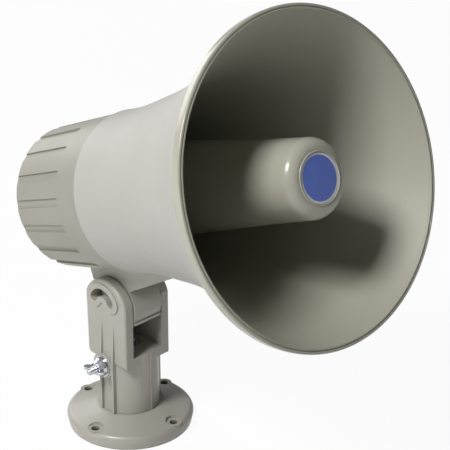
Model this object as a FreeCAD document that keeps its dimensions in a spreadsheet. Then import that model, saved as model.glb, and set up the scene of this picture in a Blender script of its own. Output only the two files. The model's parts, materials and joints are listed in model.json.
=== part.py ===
import FreeCAD, Part
import math
import os
import Sketcher

# Horn loudspeaker on a swivel bracket.
# World frame: origin at the centre of the base's underside, +Z up, mouth towards -Y,
# tilt axle along X. Lengths in millimetres, angles in degrees.
# Pieces of the horn are drawn in the horn's own frame: its Z runs forward along the horn axis,
# its Y is upwards across that axis, and its origin lies on the axis, a little ahead of the axle.

# Driving sizes
SIZES = {
    # base
    "flange_radius": 42.8,
    "flange_edge_height": 6.4,
    "flange_top_height": 14.0,
    "flange_shoulder": 2.6,
    "flange_hollow_depth": 3.6,
    "flange_hollow_radius": 30.0,
    "flange_rib_thickness": 3.0,
    "hole_circle_radius": 37.0,
    "hole_radius": 2.8,
    "hole_seat_radius": 5.4,
    "hole_seat_height": 9.3,
    "hole_turn": 9.2,
    "flange_step": 2.6,
    "spigot_radius": 16.0,
    "spigot_bore_radius": 11.5,
    "spigot_height": 49.7,
    "spigot_roof": 12.0,
    # swivel screw
    "swivel_screw_radius": 2.5,
    "swivel_screw_depth": 10.0,
    "swivel_head_radius": 4.8,
    "swivel_head_height": 3.4,
    "washer_radius": 7.5,
    "washer_thickness": 1.2,
    # running clearances
    "running_gap": 0.3,
    "screw_gap": 0.1,
    # yoke
    "neck_radius": 20.0,
    "neck_overlap": 1.0,
    "yoke_width": 39.0,
    "yoke_depth": 37.8,
    "yoke_bottom": 51.5,
    "yoke_floor": 58.0,
    "ear_thickness": 6.8,
    "ear_top_radius": 20.6,
    "ear_top_setback": 0.6,
    "ear_top_drop": 2.2,
    "ear_lean": 0.9,
    "rear_wall_thickness": 4.0,
    "rear_wall_top": 84.0,
    "rear_corner_radius": 3.4,
    "yoke_edge_round": 1.6,
    "slot_middle_radius": 8.9,
    "slot_width": 5.8,
    "slot_half_angle": 64.0,
    "slot_pad_margin": 4.0,
    "slot_pad_height": 1.0,
    "gusset_front": 6.6,
    "gusset_back": 5.0,
    "gusset_thickness": 1.8,
    "gusset_rise": 1.8,
    "gusset_top": 81.0,
    "seam_rib_width": 1.2,
    "seam_rib_rise": 0.5,
    "seam_rib_offset": 1.4,
    # clamp on the neck
    "clamp_height": 47.6,
    "clamp_offset": 2.5,
    "clamp_boss_radius": 9.0,
    "clamp_boss_rise": 1.9,
    "clamp_stud_radius": 2.4,
    "clamp_stud_reach": 12.6,
    "clamp_washer_radius": 7.4,
    "clamp_washer_thickness": 1.0,
    "wing_collar_radius": 6.4,
    "wing_collar_height": 1.4,
    "wing_hub_radius": 4.3,
    "wing_hub_length": 5.4,
    "wing_thickness": 2.0,
    "wing_tip_radius": 2.4,
    "wing_tip_angle": 35.0,
    "wing_span": 9.0,
    "wing_reach": 9.0,
    "wing_root": 1.2,
    "wing_hold": 3.2,
    "wing_turn": 5.0,
    # tilt axle and rest tilt
    "pivot_height": 92.6,
    "pivot_setback": 2.6,
    "rest_tilt": 21.1,
    "axis_rise": 70.2,
    "axis_ahead": 2.21,
    "trunnion_radius": 4.0,
    "trunnion_length": 4.5,
    # bell
    "seam_place": 43.0,
    "seam_step": 0.8,
    "bell_wall": 2.6,
    "bulkhead_thickness": 3.0,
    "flare_rise_1": 1.5,
    "flare_rise_2": 5.9,
    "flare_rise_3": 11.1,
    "flare_rise_4": 19.3,
    "flare_rise_5": 31.6,
    "flare_rise_6": 44.9,
    "flare_rise_full": 49.1,
    "mouth_place": 204.6,
    "mouth_radius": 101.6,
    "rim_width": 6.7,
    "rim_taper": 0.8,
    "rim_round": 1.4,
    "rim_front_width": 3.6,
    "rim_groove_inset": 2.0,
    "rim_groove_width": 0.5,
    "rim_groove_depth": 0.7,
    "driver_hole_floor": 1.0,
    "throat_bore_radius": 12.0,
    "cover_spigot_length": 4.0,
    "cover_spigot_wall": 2.2,
    # rear cover
    "cover_wall": 2.5,
    "cover_draft": 5.0,
    "cover_rear_radius": 46.7,
    "cover_rear_place": -29.1,
    "cover_rear_round": 3.2,
    "cover_rear_wall": 2.6,
    "cover_recess_margin": 13.7,
    "cover_recess_depth": 0.8,
    "channel_count": 18,
    "channel_angle": 6.4,
    "channel_depth": 1.5,
    "channel_end": 21.0,
    "gasket_thickness": 0.6,
    "gasket_inset": 0.5,
    "post_count": 3,
    "post_inset": 5.7,
    "post_sink": 0.5,
    "cover_screw_short": 1.0,
    "post_radius": 4.9,
    "boss_radius": 4.2,
    "boss_length": 10.0,
    "cover_screw_radius": 1.6,
    "cover_head_radius": 3.4,
    "cover_head_height": 2.6,
    "cover_head_well": 3.0,
    # tap selector, its switch, the terminals and the cable inlet
    "selector_margin": 19.0,
    "selector_slot_reach": 5.6,
    "selector_radius": 7.0,
    "selector_height": 2.8,
    "selector_well_depth": 3.0,
    "selector_well_wall": 2.6,
    "selector_slot_width": 1.4,
    "selector_slot_depth": 1.6,
    "selector_shaft_radius": 3.0,
    "selector_shaft_length": 9.0,
    "switch_radius": 10.5,
    "switch_length": 10.0,
    "inlet_margin": 10.0,
    "inlet_radius": 4.6,
    "inlet_lip": 2.0,
    "inlet_groove": 1.2,
    "terminal_width": 18.0,
    "terminal_depth": 9.0,
    "terminal_screw_radius": 2.2,
    # driver
    "driver_clearance": 2.1,
    "driver_plate_thickness": 4.0,
    "driver_ring_depth": 2.0,
    "driver_ring_width": 8.0,
    "driver_throat_radius": 8.5,
    "diaphragm_thickness": 0.5,
    "dome_inset": 7.5,
    "dome_height": 2.2,
    "coil_thickness": 0.7,
    "coil_length": 8.0,
    "coil_gap": 1.3,
    "top_plate_thickness": 5.0,
    "magnet_inset": 5.5,
    "magnet_breadth": 5.5,
    "magnet_thickness": 14.0,
    "back_plate_thickness": 5.0,
    "pole_vent_radius": 2.5,
    "driver_screw_count": 4,
    "driver_screw_inset": 2.8,
    "driver_screw_radius": 1.4,
    "driver_head_radius": 2.5,
    "driver_head_height": 2.0,
    # transformer
    "core_inset": 11.5,
    "core_height": 18.0,
    "core_stack": 18.0,
    "core_window_width": 5.4,
    "core_window_height": 10.0,
    "winding_overhang": 5.2,
    "winding_gap": 0.2,
    "strap_thickness": 1.0,
    "strap_width": 12.0,
    "strap_foot": 8.0,
    "strap_screw_radius": 1.4,
    "strap_head_radius": 2.5,
    "strap_head_height": 1.4,
    # throat tube
    "throat_tube_length": 140.0,
    "throat_tube_rear_radius": 9.0,
    "throat_tube_front_radius": 12.8,
    "throat_tube_wall": 1.8,
    "throat_flange_radius": 20.5,
    "throat_flange_thickness": 2.5,
    "throat_screw_count": 4,
    "throat_screw_ring_radius": 16.4,
    "throat_screw_radius": 1.3,
    "throat_head_radius": 2.4,
    "throat_head_height": 1.8,
    # reflector
    "nose_gap": 20.0,
    "nose_radius": 24.2,
    "nose_round": 8.0,
    "nose_wall": 2.2,
    "reflector_radius_1": 25.3,
    "reflector_radius_2": 27.0,
    "reflector_radius_3": 29.2,
    "reflector_tail_radius": 34.6,
    "reflector_tail_gap": 11.0,
    "reflector_leg_count": 3,
    "reflector_leg_width": 6.5,
    "reflector_leg_depth": 4.6,
    "reflector_leg_inset": 0.8,
    "reflector_leg_overlap": 3.0,
    "reflector_leg_turn": 30.0,
    "reflector_screw_radius": 1.3,
    "reflector_screw_length": 9.0,
    "reflector_head_radius": 2.7,
    "reflector_head_height": 1.5,
    "disc_radius": 15.1,
    "disc_thickness": 0.8,
    "disc_recess": 1.0,
    "disc_gap": 0.2,
    "bead_width": 0.8,
    "bead_rise": 0.5,
    # mount foot
    "foot_width": 23.4,
    "foot_back": 15.3,
    "foot_underside": 15.5,
    "foot_core": 10.2,
    "foot_front": 70.0,
    "foot_roof": 36.0,
    "hub_radius": 14.0,
    "thrust_radius": 7.0,
    "thrust_rise": 0.6,
    "visor_radius": 22.6,
    "visor_wall": 3.0,
    "visor_from_angle": 74.0,
    "visor_to_angle": 140.0,
    "visor_root_angle": 8.0,
    "lip_angle": 6.6,
    "lip_rise": 1.0,
    "foot_screw_first": 6.6,
    "foot_screw_pitch": 7.5,
    "foot_screw_radius": 1.6,
    "foot_head_radius": 3.0,
    "foot_head_height": 1.8,
    "foot_head_lift": 0.2,
    "foot_screw_depth": 6.0,
}

doc = FreeCAD.newDocument("horn_loudspeaker")
sheet = doc.addObject("Spreadsheet::Sheet", "Sizes")
for row, (name, number) in enumerate(SIZES.items(), start=1):
    sheet.set(f"A{row}", name)
    sheet.set(f"B{row}", str(number))
    sheet.setAlias(f"B{row}", name)
doc.recompute()


class Size:
    """A number together with the expression that binds it to the sheet."""

    def __init__(self, value, text):
        self.value = float(value)
        self.text = text

    def __add__(self, other):
        other = as_size(other)
        return Size(self.value + other.value, f"({self.text} + {other.text})")

    def __sub__(self, other):
        other = as_size(other)
        return Size(self.value - other.value, f"({self.text} - {other.text})")

    def __mul__(self, other):
        other = as_size(other)
        return Size(self.value * other.value, f"({self.text} * {other.text})")

    def __truediv__(self, other):
        other = as_size(other)
        return Size(self.value / other.value, f"({self.text} / {other.text})")

    def __neg__(self):
        return Size(-self.value, f"(0 - {self.text})")

    def __radd__(self, other):
        return as_size(other) + self

    def __rsub__(self, other):
        return as_size(other) - self

    def __rmul__(self, other):
        return as_size(other) * self


def as_size(number):
    """A plain number as a Size; a Size comes back as it is."""
    return number if isinstance(number, Size) else Size(number, repr(float(number)))


def cosine(angle):
    angle = as_size(angle)
    return Size(math.cos(math.radians(angle.value)), f"cos({angle.text})")


def sine(angle):
    angle = as_size(angle)
    return Size(math.sin(math.radians(angle.value)), f"sin({angle.text})")


def root(number):
    return Size(math.sqrt(number.value), f"sqrt({number.text})")


class Sheet:
    """Every driving size as an attribute of its own name."""


s = Sheet()
for name in SIZES:
    setattr(s, name, Size(sheet.get(name), f"Sizes.{name}"))

# Frames: the world, the horn at its rest tilt, and the wing nut, whose Z runs out along the stud
WORLD = None
HORN = (
    "placement(vector(0;"
    " Sizes.pivot_setback + Sizes.axis_rise * sin(Sizes.rest_tilt)"
    " - Sizes.axis_ahead * cos(Sizes.rest_tilt);"
    " Sizes.pivot_height + Sizes.axis_rise * cos(Sizes.rest_tilt)"
    " + Sizes.axis_ahead * sin(Sizes.rest_tilt));"
    " rotation(vector(1; 0; 0); 90 - Sizes.rest_tilt))"
)
CLAMP = (
    "placement(vector(0 - Sizes.yoke_width / 2 - Sizes.clamp_boss_rise"
    " - Sizes.clamp_washer_thickness - Sizes.screw_gap; Sizes.clamp_offset; Sizes.clamp_height);"
    " rotation(vector(0; 1; 0); 0 - 90) * rotation(vector(0; 0; 1); Sizes.wing_turn))"
)
FULL_TURN = 360
TOP = 90
EIGHTH = 45
subparts = []


# Modelling helpers

def new_body(label, frame):
    """An empty body for one sub-part, standing in the given frame."""
    body = doc.addObject("PartDesign::Body", label)
    body.Label = label
    if frame:
        body.setExpression("Placement", frame)
    subparts.append(body)
    return body


def origin_part(body, role):
    return next(item for item in body.Origin.OriginFeatures if item.Role == role)


def new_sketch(body, plane, lift=0):
    """A sketch on one of the body's origin planes, lifted along the plane's normal."""
    sketch = body.newObject("Sketcher::SketchObject", f"{body.Label}_sketch")
    sketch.AttachmentSupport = [(origin_part(body, plane), "")]
    sketch.MapMode = "FlatFace"
    lift = as_size(lift)
    if lift.text != "0.0":
        sketch.setExpression("AttachmentOffset.Base.z", lift.text)
    return sketch


def pin(sketch, geometry, point, kind, coordinate):
    """Holds one coordinate of a sketch point at a size of the sheet."""
    coordinate = as_size(coordinate)
    index = sketch.addConstraint(
        Sketcher.Constraint(kind, -1, 1, geometry, point, coordinate.value))
    sketch.setExpression(f"Constraints[{index}]", coordinate.text)


def vector(corner):
    return FreeCAD.Vector(as_size(corner[0]).value, as_size(corner[1]).value, 0)


def arc_about(start, end, centre, clockwise):
    """The arc from start to end about a centre, drawn the way a sketch stores it."""
    first, last, middle = vector(start), vector(end), vector(centre)
    if clockwise:
        first, last = last, first
    reach = (first - middle).Length
    begin = math.atan2(first.y - middle.y, first.x - middle.x)
    finish = math.atan2(last.y - middle.y, last.x - middle.x)
    if finish <= begin:
        finish += 2 * math.pi
    circle = Part.Circle(middle, FreeCAD.Vector(0, 0, 1), reach)
    return Part.ArcOfCircle(circle, begin, finish)


def outline(sketch, steps):
    """A closed outline. Each step is a corner, and what leads on to the next one:
    nothing for a line, ("arc", centre, clockwise) or ("curve", points between, start, end)
    with the directions in which a curve sets out and arrives, where they matter."""
    count = len(steps)
    ends = []
    for index, step in enumerate(steps):
        corner, after = step[0], steps[(index + 1) % count][0]
        path = step[1] if len(step) > 1 else None
        if path is None:
            piece = Part.LineSegment(vector(corner), vector(after))
            ends.append((1, 2))
        elif path[0] == "arc":
            piece = arc_about(corner, after, path[1], path[2])
            ends.append((2, 1) if path[2] else (1, 2))
        else:
            piece = Part.BSplineCurve()
            points = [vector(corner)] + [vector(p) for p in path[1]] + [vector(after)]
            if len(path) > 2:
                piece.interpolate(Points=points, InitialTangent=vector(path[2]).normalize(),
                                  FinalTangent=vector(path[3]).normalize())
            else:
                piece.interpolate(points)
            ends.append((1, 2))
        sketch.addGeometry(piece, False)
    first = sketch.GeometryCount - count
    for index in range(count):
        following = (index + 1) % count
        sketch.addConstraint(Sketcher.Constraint(
            "Coincident", first + index, ends[index][1], first + following, ends[following][0]))
    for index, step in enumerate(steps):
        corner = step[0]
        path = step[1] if len(step) > 1 else None
        before = steps[index - 1]
        arrives_on_arc = len(before) > 1 and before[1][0] == "arc"
        across, along = "DistanceX", "DistanceY"
        if arrives_on_arc:
            spoke = vector(corner) - vector(before[1][1])
            held = along if abs(spoke.x) > abs(spoke.y) else across
            pin(sketch, first + index, ends[index][0], held, corner[0 if held == across else 1])
        else:
            pin(sketch, first + index, ends[index][0], across, corner[0])
            pin(sketch, first + index, ends[index][0], along, corner[1])
        if path is not None and path[0] == "arc":
            pin(sketch, first + index, 3, across, path[1][0])
            pin(sketch, first + index, 3, along, path[1][1])


def circle(sketch, centre, radius):
    radius = as_size(radius)
    index = sketch.addGeometry(
        Part.Circle(vector(centre), FreeCAD.Vector(0, 0, 1), radius.value), False)
    pin(sketch, index, 3, "DistanceX", centre[0])
    pin(sketch, index, 3, "DistanceY", centre[1])
    held = sketch.addConstraint(Sketcher.Constraint("Radius", index, radius.value))
    sketch.setExpression(f"Constraints[{held}]", radius.text)


def rectangle(low, high):
    """Corners of an upright rectangle, for outline()."""
    return [(low,), ((high[0], low[1]),), (high,), ((low[0], high[1]),)]


def finish_feature(body, feature):
    body.Tip = feature
    doc.recompute()
    if "Invalid" in feature.State or "Error" in feature.State or feature.Shape.isNull():
        raise RuntimeError(f"{body.Label}: {feature.Name} failed")
    return feature


def turned(body, steps, angle=FULL_TURN, plane="XZ_Plane", cut=False):
    """Material turned about the frame's Z axis, or a turned groove. A part turn is centred
    on the sketch plane."""
    sketch = new_sketch(body, plane)
    outline(sketch, steps)
    kind = "Groove" if cut else "Revolution"
    feature = body.newObject(f"PartDesign::{kind}", f"{body.Label}_{kind.lower()}")
    feature.Profile = sketch
    feature.ReferenceAxis = (sketch, ["V_Axis"])
    angle = as_size(angle)
    if angle.value < FULL_TURN:
        feature.Midplane = True
        feature.setExpression("Angle", angle.text)
    else:
        feature.Angle = FULL_TURN
    return finish_feature(body, feature)


def padded(body, plane, draw, length, lift=0, both_ways=False, reverse=False, cut=False):
    """Material raised from a flat outline, or cut into the body along the same direction."""
    sketch = new_sketch(body, plane, lift)
    draw(sketch)
    kind = "Pocket" if cut else "Pad"
    feature = body.newObject(f"PartDesign::{kind}", f"{body.Label}_{kind.lower()}")
    feature.Profile = sketch
    feature.Type = 0
    feature.Midplane = both_ways
    feature.Reversed = (not reverse) if cut else reverse
    feature.setExpression("Length", as_size(length).text)
    before = body.Shape.Volume if cut else 0
    finish_feature(body, feature)
    if cut and body.Shape.Volume > before - 0.01:
        raise RuntimeError(f"{body.Label}: {feature.Name} cuts nothing")
    return feature


def repeated(body, feature, count, axis="Z_Axis"):
    """The same feature, spaced evenly round an axis of the frame."""
    pattern = body.newObject("PartDesign::PolarPattern", f"{body.Label}_pattern")
    pattern.Originals = [feature]
    pattern.Axis = (origin_part(body, axis), [""])
    pattern.Angle = FULL_TURN
    pattern.setExpression("Occurrences", as_size(count).text)
    return finish_feature(body, pattern)


def rounded(body, radius, chosen):
    """Fillets on the edges of the body that the chosen test picks."""
    tip = body.Tip
    names = [f"Edge{number}" for number, edge in enumerate(tip.Shape.Edges, start=1) if chosen(edge)]
    fillet = body.newObject("PartDesign::Fillet", f"{body.Label}_fillet")
    fillet.Base = (tip, names)
    fillet.setExpression("Radius", as_size(radius).text)
    return finish_feature(body, fillet)


def polar(radius, angle):
    """A point on the plane at a radius and an angle from the first axis."""
    return (as_size(radius) * cosine(angle), as_size(radius) * sine(angle))


def screw(label, frame, plane, places, head, shank, under, length, head_up):
    """Like screws of one label: heads on the side that head_up names, shanks the other way."""
    body = new_body(label, frame)
    head_radius, head_height = head
    draw_heads = lambda sketch: [circle(sketch, place, head_radius) for place in places]
    draw_shanks = lambda sketch: [circle(sketch, place, shank) for place in places]
    padded(body, plane, draw_heads, head_height, under, reverse=not head_up)
    padded(body, plane, draw_shanks, length, under, reverse=head_up)
    return body


# Places that several pieces share

pivot_drop = -s.axis_rise
pivot_back = -s.axis_ahead
cover_front_radius = s.cover_rear_radius + s.cover_draft
seam_radius = cover_front_radius + s.seam_step
cover_recess_radius = s.cover_rear_radius - s.cover_recess_margin
post_circle_radius = s.cover_rear_radius - s.post_inset
selector_place = cover_recess_radius - s.selector_margin
inlet_place = s.inlet_margin - cover_recess_radius
bulkhead_front = s.seam_place + s.bulkhead_thickness
rim_place = s.mouth_place - s.rim_width
half_foot = s.foot_width / 2
half_yoke = s.yoke_width / 2
ear_inner = half_yoke - s.ear_thickness
half_depth = s.yoke_depth / 2
nose_front = (bulkhead_front + s.throat_tube_length + s.nose_gap + s.nose_wall
              + s.disc_recess)
cover_front = s.seam_place - s.gasket_thickness
cover_inner_front = cover_front_radius - s.cover_wall
rear_face = s.cover_rear_place + s.cover_recess_depth
rear_inside = rear_face + s.cover_rear_wall
neck_bottom = s.flange_top_height + s.running_gap
spigot_top = s.spigot_height
clamp_face = half_yoke + s.clamp_boss_rise

# The driver and its transformer take their breadth from the room between the cover's posts
driver_plate_radius = post_circle_radius - s.post_radius - s.driver_clearance
driver_ring_radius = driver_plate_radius - s.driver_ring_width
driver_screw_ring = driver_plate_radius - s.driver_screw_inset
dome_radius = driver_ring_radius - s.dome_inset
top_plate_bore = dome_radius + s.coil_gap
pole_radius = dome_radius - s.coil_gap
magnet_radius = driver_plate_radius - s.magnet_inset
magnet_bore = magnet_radius - s.magnet_breadth
half_core = magnet_radius - s.core_inset
core_leg = (half_core - s.core_window_width) / 2

# The terminals stand in the middle of the room between the switch and the grommet
terminal_high = selector_place - s.switch_radius
terminal_low = inlet_place + s.inlet_radius + s.inlet_lip
terminal_place = (terminal_high + terminal_low) / 2
terminal_height = (terminal_high - terminal_low) / 2


def cover_radius(place):
    """Radius of the rear cover's outside at a place along the horn axis."""
    slope = s.cover_draft / (cover_front - s.cover_rear_place)
    return s.cover_rear_radius + slope * (as_size(place) - s.cover_rear_place)


def flare_places():
    """Even stations between the seam and the rim, where the flare's radii are given."""
    spacing = (rim_place - s.seam_place) / 6
    return [s.seam_place + spacing * number for number in range(1, 6)]


def flare_radius(rise):
    """A radius between the seam's and the mouth's, from its rise out of the full one."""
    return seam_radius + (s.mouth_radius - seam_radius) * rise / s.flare_rise_full


def flare(inset):
    """Points of the bell's flare between the seam and the rim, inset by a wall."""
    rises = [s.flare_rise_1, s.flare_rise_2, s.flare_rise_3, s.flare_rise_4, s.flare_rise_5]
    return [(flare_radius(rise) - inset, place) for rise, place in zip(rises, flare_places())]


def flare_setting_out():
    """The direction in which the flare leaves the seam, nearly straight ahead."""
    return (s.seam_step / 2, rim_place - s.seam_place)


def flare_arrival():
    """The direction in which the flare meets the rim."""
    last = flare(0)[-1]
    return (flare_radius(s.flare_rise_6) - last[0], rim_place - last[1])


# Base: a domed flange with four screw seats, and the hollow spigot that the yoke turns on

def base_flange():
    body = new_body("base_flange", WORLD)
    shoulder = s.flange_shoulder
    edge_top = s.flange_edge_height - shoulder
    turned(body, [
        ((s.spigot_bore_radius, 0),),
        ((s.flange_radius, 0),),
        ((s.flange_radius, edge_top), ("arc", (s.flange_radius - shoulder, edge_top), False)),
        ((s.flange_radius - shoulder, s.flange_edge_height),),
        ((s.neck_radius + s.flange_step, s.flange_top_height),),
        ((s.spigot_radius, s.flange_top_height),),
        ((s.spigot_radius, spigot_top),),
        ((s.swivel_screw_radius + s.screw_gap, spigot_top),),
        ((s.swivel_screw_radius + s.screw_gap, spigot_top - s.spigot_roof),),
        ((s.spigot_bore_radius, spigot_top - s.spigot_roof),),
    ])
    # raised seats for the four mounting screws, cut flat into the dome on their inner side
    place = polar(s.hole_circle_radius, s.hole_turn - TOP)
    seat_room = s.flange_top_height - s.hole_seat_height
    level = padded(body, "XY_Plane", lambda k: circle(k, place, s.hole_seat_radius),
                   seat_room, s.hole_seat_height, cut=True)
    repeated(body, level, 4)
    seat = padded(body, "XY_Plane", lambda k: circle(k, place, s.hole_seat_radius), s.hole_seat_height)
    repeated(body, seat, 4)
    hole = padded(body, "XY_Plane", lambda k: circle(k, place, s.hole_radius),
                  s.hole_seat_height, cut=True)
    repeated(body, hole, 4)
    # hollow underside between ribs
    ribs = 8
    half_gap = as_size(FULL_TURN / ribs / 2)
    inner = s.spigot_bore_radius + s.flange_rib_thickness
    outer = s.flange_hollow_radius
    edge = s.flange_rib_thickness / 2
    lean = half_gap

    def hollow(sketch):
        # a keystone outline between two ribs
        near, far = inner, outer
        low_near = (near * cosine(lean), near * sine(lean) - edge)
        low_far = (far * cosine(lean), far * sine(lean) - edge)
        outline(sketch, [
            ((low_near[0], -low_near[1]),), ((low_far[0], -low_far[1]),),
            ((low_far[0], low_far[1]),), ((low_near[0], low_near[1]),),
        ])
    pocket = padded(body, "XY_Plane", hollow, s.flange_hollow_depth, cut=True)
    repeated(body, pocket, ribs)


# Swivel screw and washer, seen at the bottom of the yoke's window

def swivel_fasteners():
    washer = new_body("swivel_washer", WORLD)

    def ring(sketch):
        circle(sketch, (0, 0), s.washer_radius)
        circle(sketch, (0, 0), s.swivel_screw_radius + s.running_gap)
    padded(washer, "XY_Plane", ring, s.washer_thickness, s.yoke_floor)
    under_head = s.yoke_floor + s.washer_thickness + s.running_gap
    length = under_head - spigot_top + s.swivel_screw_depth
    body = screw("swivel_screw", WORLD, "XY_Plane", [(0, 0)],
                 (s.swivel_head_radius, s.swivel_head_height), s.swivel_screw_radius,
                 under_head, length, True)
    slot_width = s.swivel_head_radius / 4
    slot_top = under_head + s.swivel_head_height
    padded(body, "XY_Plane",
           lambda k: outline(k, rectangle((-s.swivel_head_radius * 2, -slot_width / 2),
                                          (s.swivel_head_radius * 2, slot_width / 2))),
           s.swivel_head_height / 2, slot_top, cut=True, reverse=True)


# Yoke: two ears, a closed rear wall and a round neck, in one casting

def kidney(body, half_width, length, lift=0, **how):
    """A bean shape about the tilt axle and over the top of it, raised or cut: a curved strip
    and its two round ends."""
    middle = s.slot_middle_radius
    centre = (s.pivot_setback, s.pivot_height)
    first, last = TOP - s.slot_half_angle, TOP + s.slot_half_angle

    def at(radius, angle):
        point = polar(radius, angle)
        return (point[0] + s.pivot_setback, point[1] + s.pivot_height)

    def strip(sketch):
        outline(sketch, [
            (at(middle + half_width, first), ("arc", centre, False)),
            (at(middle + half_width, last),),
            (at(middle - half_width, last), ("arc", centre, True)),
            (at(middle - half_width, first),),
        ])

    def round_ends(sketch):
        circle(sketch, at(middle, first), half_width)
        circle(sketch, at(middle, last), half_width)
    padded(body, "YZ_Plane", strip, length, lift, **how)
    padded(body, "YZ_Plane", round_ends, length, lift, **how)


def yoke_bracket():
    body = new_body("yoke_bracket", WORLD)
    round_top = s.ear_top_radius
    centre = (s.ear_top_setback, s.pivot_height - s.ear_top_drop)
    rear = half_depth + s.ear_lean
    front_reach, rear_reach = half_depth + s.ear_top_setback, rear - s.ear_top_setback
    front_top = centre[1] + root(round_top * round_top - front_reach * front_reach)
    rear_top = centre[1] + root(round_top * round_top - rear_reach * rear_reach)
    corner = s.rear_corner_radius

    def side(sketch):
        outline(sketch, [
            ((-half_depth, s.yoke_bottom),),
            ((half_depth - corner, s.yoke_bottom),
             ("arc", (half_depth - corner, s.yoke_bottom + corner), False)),
            ((half_depth, s.yoke_bottom + corner),),
            ((rear, rear_top), ("arc", centre, False)),
            ((-half_depth, front_top),),
        ])
    padded(body, "YZ_Plane", side, s.yoke_width, both_ways=True)
    # window, open to the front and the top, closed by the rear wall
    window_back = half_depth - s.rear_wall_thickness
    tall = centre[1] + round_top - s.yoke_floor
    padded(body, "XY_Plane",
           lambda k: outline(k, rectangle((-ear_inner, -s.yoke_depth), (ear_inner, window_back))),
           tall, s.yoke_floor, cut=True)
    padded(body, "XY_Plane",
           lambda k: outline(k, rectangle((-ear_inner, -s.yoke_depth), (ear_inner, s.yoke_depth))),
           tall, s.rear_wall_top, cut=True)
    outer_faces = lambda edge: (
        edge.BoundBox.XLength < 0.01 and abs(abs(edge.BoundBox.XMin) - half_yoke.value) < 0.01)
    rounded(body, s.yoke_edge_round, outer_faces)
    # neck under the box, two tapering gussets on either side, and its mould seam
    padded(body, "XY_Plane", lambda k: circle(k, (0, 0), s.neck_radius),
           s.yoke_floor - neck_bottom, neck_bottom)
    gusset_face = half_yoke + s.gusset_rise
    inside = half_yoke - s.gusset_rise

    def gussets(sketch):
        for side_of in (-1, 1):
            outline(sketch, [
                ((side_of * inside, neck_bottom),), ((side_of * inside, s.gusset_top),),
                ((side_of * half_yoke, s.gusset_top),), ((side_of * gusset_face, s.yoke_bottom),),
                ((side_of * gusset_face, neck_bottom),),
            ])
    for ahead in (s.gusset_front, -s.gusset_back):
        padded(body, "XZ_Plane", gussets, s.gusset_thickness, ahead, both_ways=True)
    seam = rectangle((s.seam_rib_offset - s.seam_rib_width / 2, -(s.neck_radius + s.seam_rib_rise)),
                     (s.seam_rib_offset + s.seam_rib_width / 2, -s.spigot_radius - s.neck_overlap))
    padded(body, "XY_Plane", lambda k: outline(k, seam), s.yoke_floor - neck_bottom, neck_bottom)
    # raised pads and through slots of the tilt scale, on both ears
    for sign, reverse in ((1, False), (-1, True)):
        kidney(body, s.slot_width / 2 + s.slot_pad_margin, s.slot_pad_height + s.running_gap,
               sign * (half_yoke - s.running_gap), reverse=reverse)
    kidney(body, s.slot_width / 2, s.yoke_width * 2, both_ways=True, cut=True)
    # clamp boss on the left of the neck
    clamp_centre = (s.clamp_offset, s.clamp_height)
    padded(body, "YZ_Plane", lambda k: circle(k, clamp_centre, s.clamp_boss_radius),
           clamp_face - s.spigot_radius - s.neck_overlap,
           -s.spigot_radius - s.neck_overlap, reverse=True)
    # bore over the spigot, swivel screw hole, clamp hole, axle sockets
    padded(body, "XY_Plane", lambda k: circle(k, (0, 0), s.spigot_radius + s.running_gap),
           spigot_top + s.running_gap - neck_bottom, neck_bottom, cut=True)
    padded(body, "XY_Plane", lambda k: circle(k, (0, 0), s.swivel_screw_radius + s.running_gap),
           s.yoke_floor - neck_bottom, neck_bottom, cut=True)
    padded(body, "YZ_Plane", lambda k: circle(k, clamp_centre, s.clamp_stud_radius + s.screw_gap),
           clamp_face, cut=True, reverse=True)
    socket = 2 * (half_foot + s.trunnion_length + s.running_gap)
    axle = (s.pivot_setback, s.pivot_height)
    padded(body, "YZ_Plane", lambda k: circle(k, axle, s.trunnion_radius + s.running_gap),
           socket, both_ways=True, cut=True)


# Clamp: a threaded stud that bears on the spigot, a washer and a wing nut

def clamp():
    centre = (s.clamp_offset, s.clamp_height)
    stud = new_body("clamp_stud", WORLD)
    tip = s.spigot_radius + s.running_gap + s.screw_gap
    length = clamp_face + s.clamp_stud_reach - tip
    padded(stud, "YZ_Plane", lambda k: circle(k, centre, s.clamp_stud_radius), length, -tip, reverse=True)
    washer = new_body("clamp_washer", WORLD)

    def ring(sketch):
        circle(sketch, centre, s.clamp_washer_radius)
        circle(sketch, centre, s.clamp_stud_radius + s.screw_gap)
    padded(washer, "YZ_Plane", ring, s.clamp_washer_thickness, -clamp_face, reverse=True)

    nut = new_body("wing_nut", CLAMP)
    bore = s.clamp_stud_radius + s.screw_gap
    turned(nut, [
        ((bore, 0),), ((s.wing_collar_radius, 0),), ((s.wing_collar_radius, s.wing_collar_height),),
        ((s.wing_hub_radius, s.wing_hub_length),), ((bore, s.wing_hub_length),),
    ])
    # one wing, leaning out to a round tip, and its twin half a turn on
    tip_round = s.wing_tip_radius
    tip_centre = (s.wing_span - tip_round, s.wing_reach - tip_round)
    outward = polar(tip_round, -s.wing_tip_angle)

    def wing(sketch):
        outline(sketch, [
            ((s.wing_hold, s.wing_root),),
            ((tip_centre[0] + outward[0], tip_centre[1] + outward[1]), ("arc", tip_centre, False)),
            ((tip_centre[0] - outward[0], tip_centre[1] - outward[1]),),
            ((s.wing_hold, s.wing_hub_length),),
        ])
    first_wing = padded(nut, "YZ_Plane", wing, s.wing_thickness, both_ways=True)
    repeated(nut, first_wing, 2)


# Bell: a flared horn with a rolled rim, and the bulkhead that carries the driver

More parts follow.
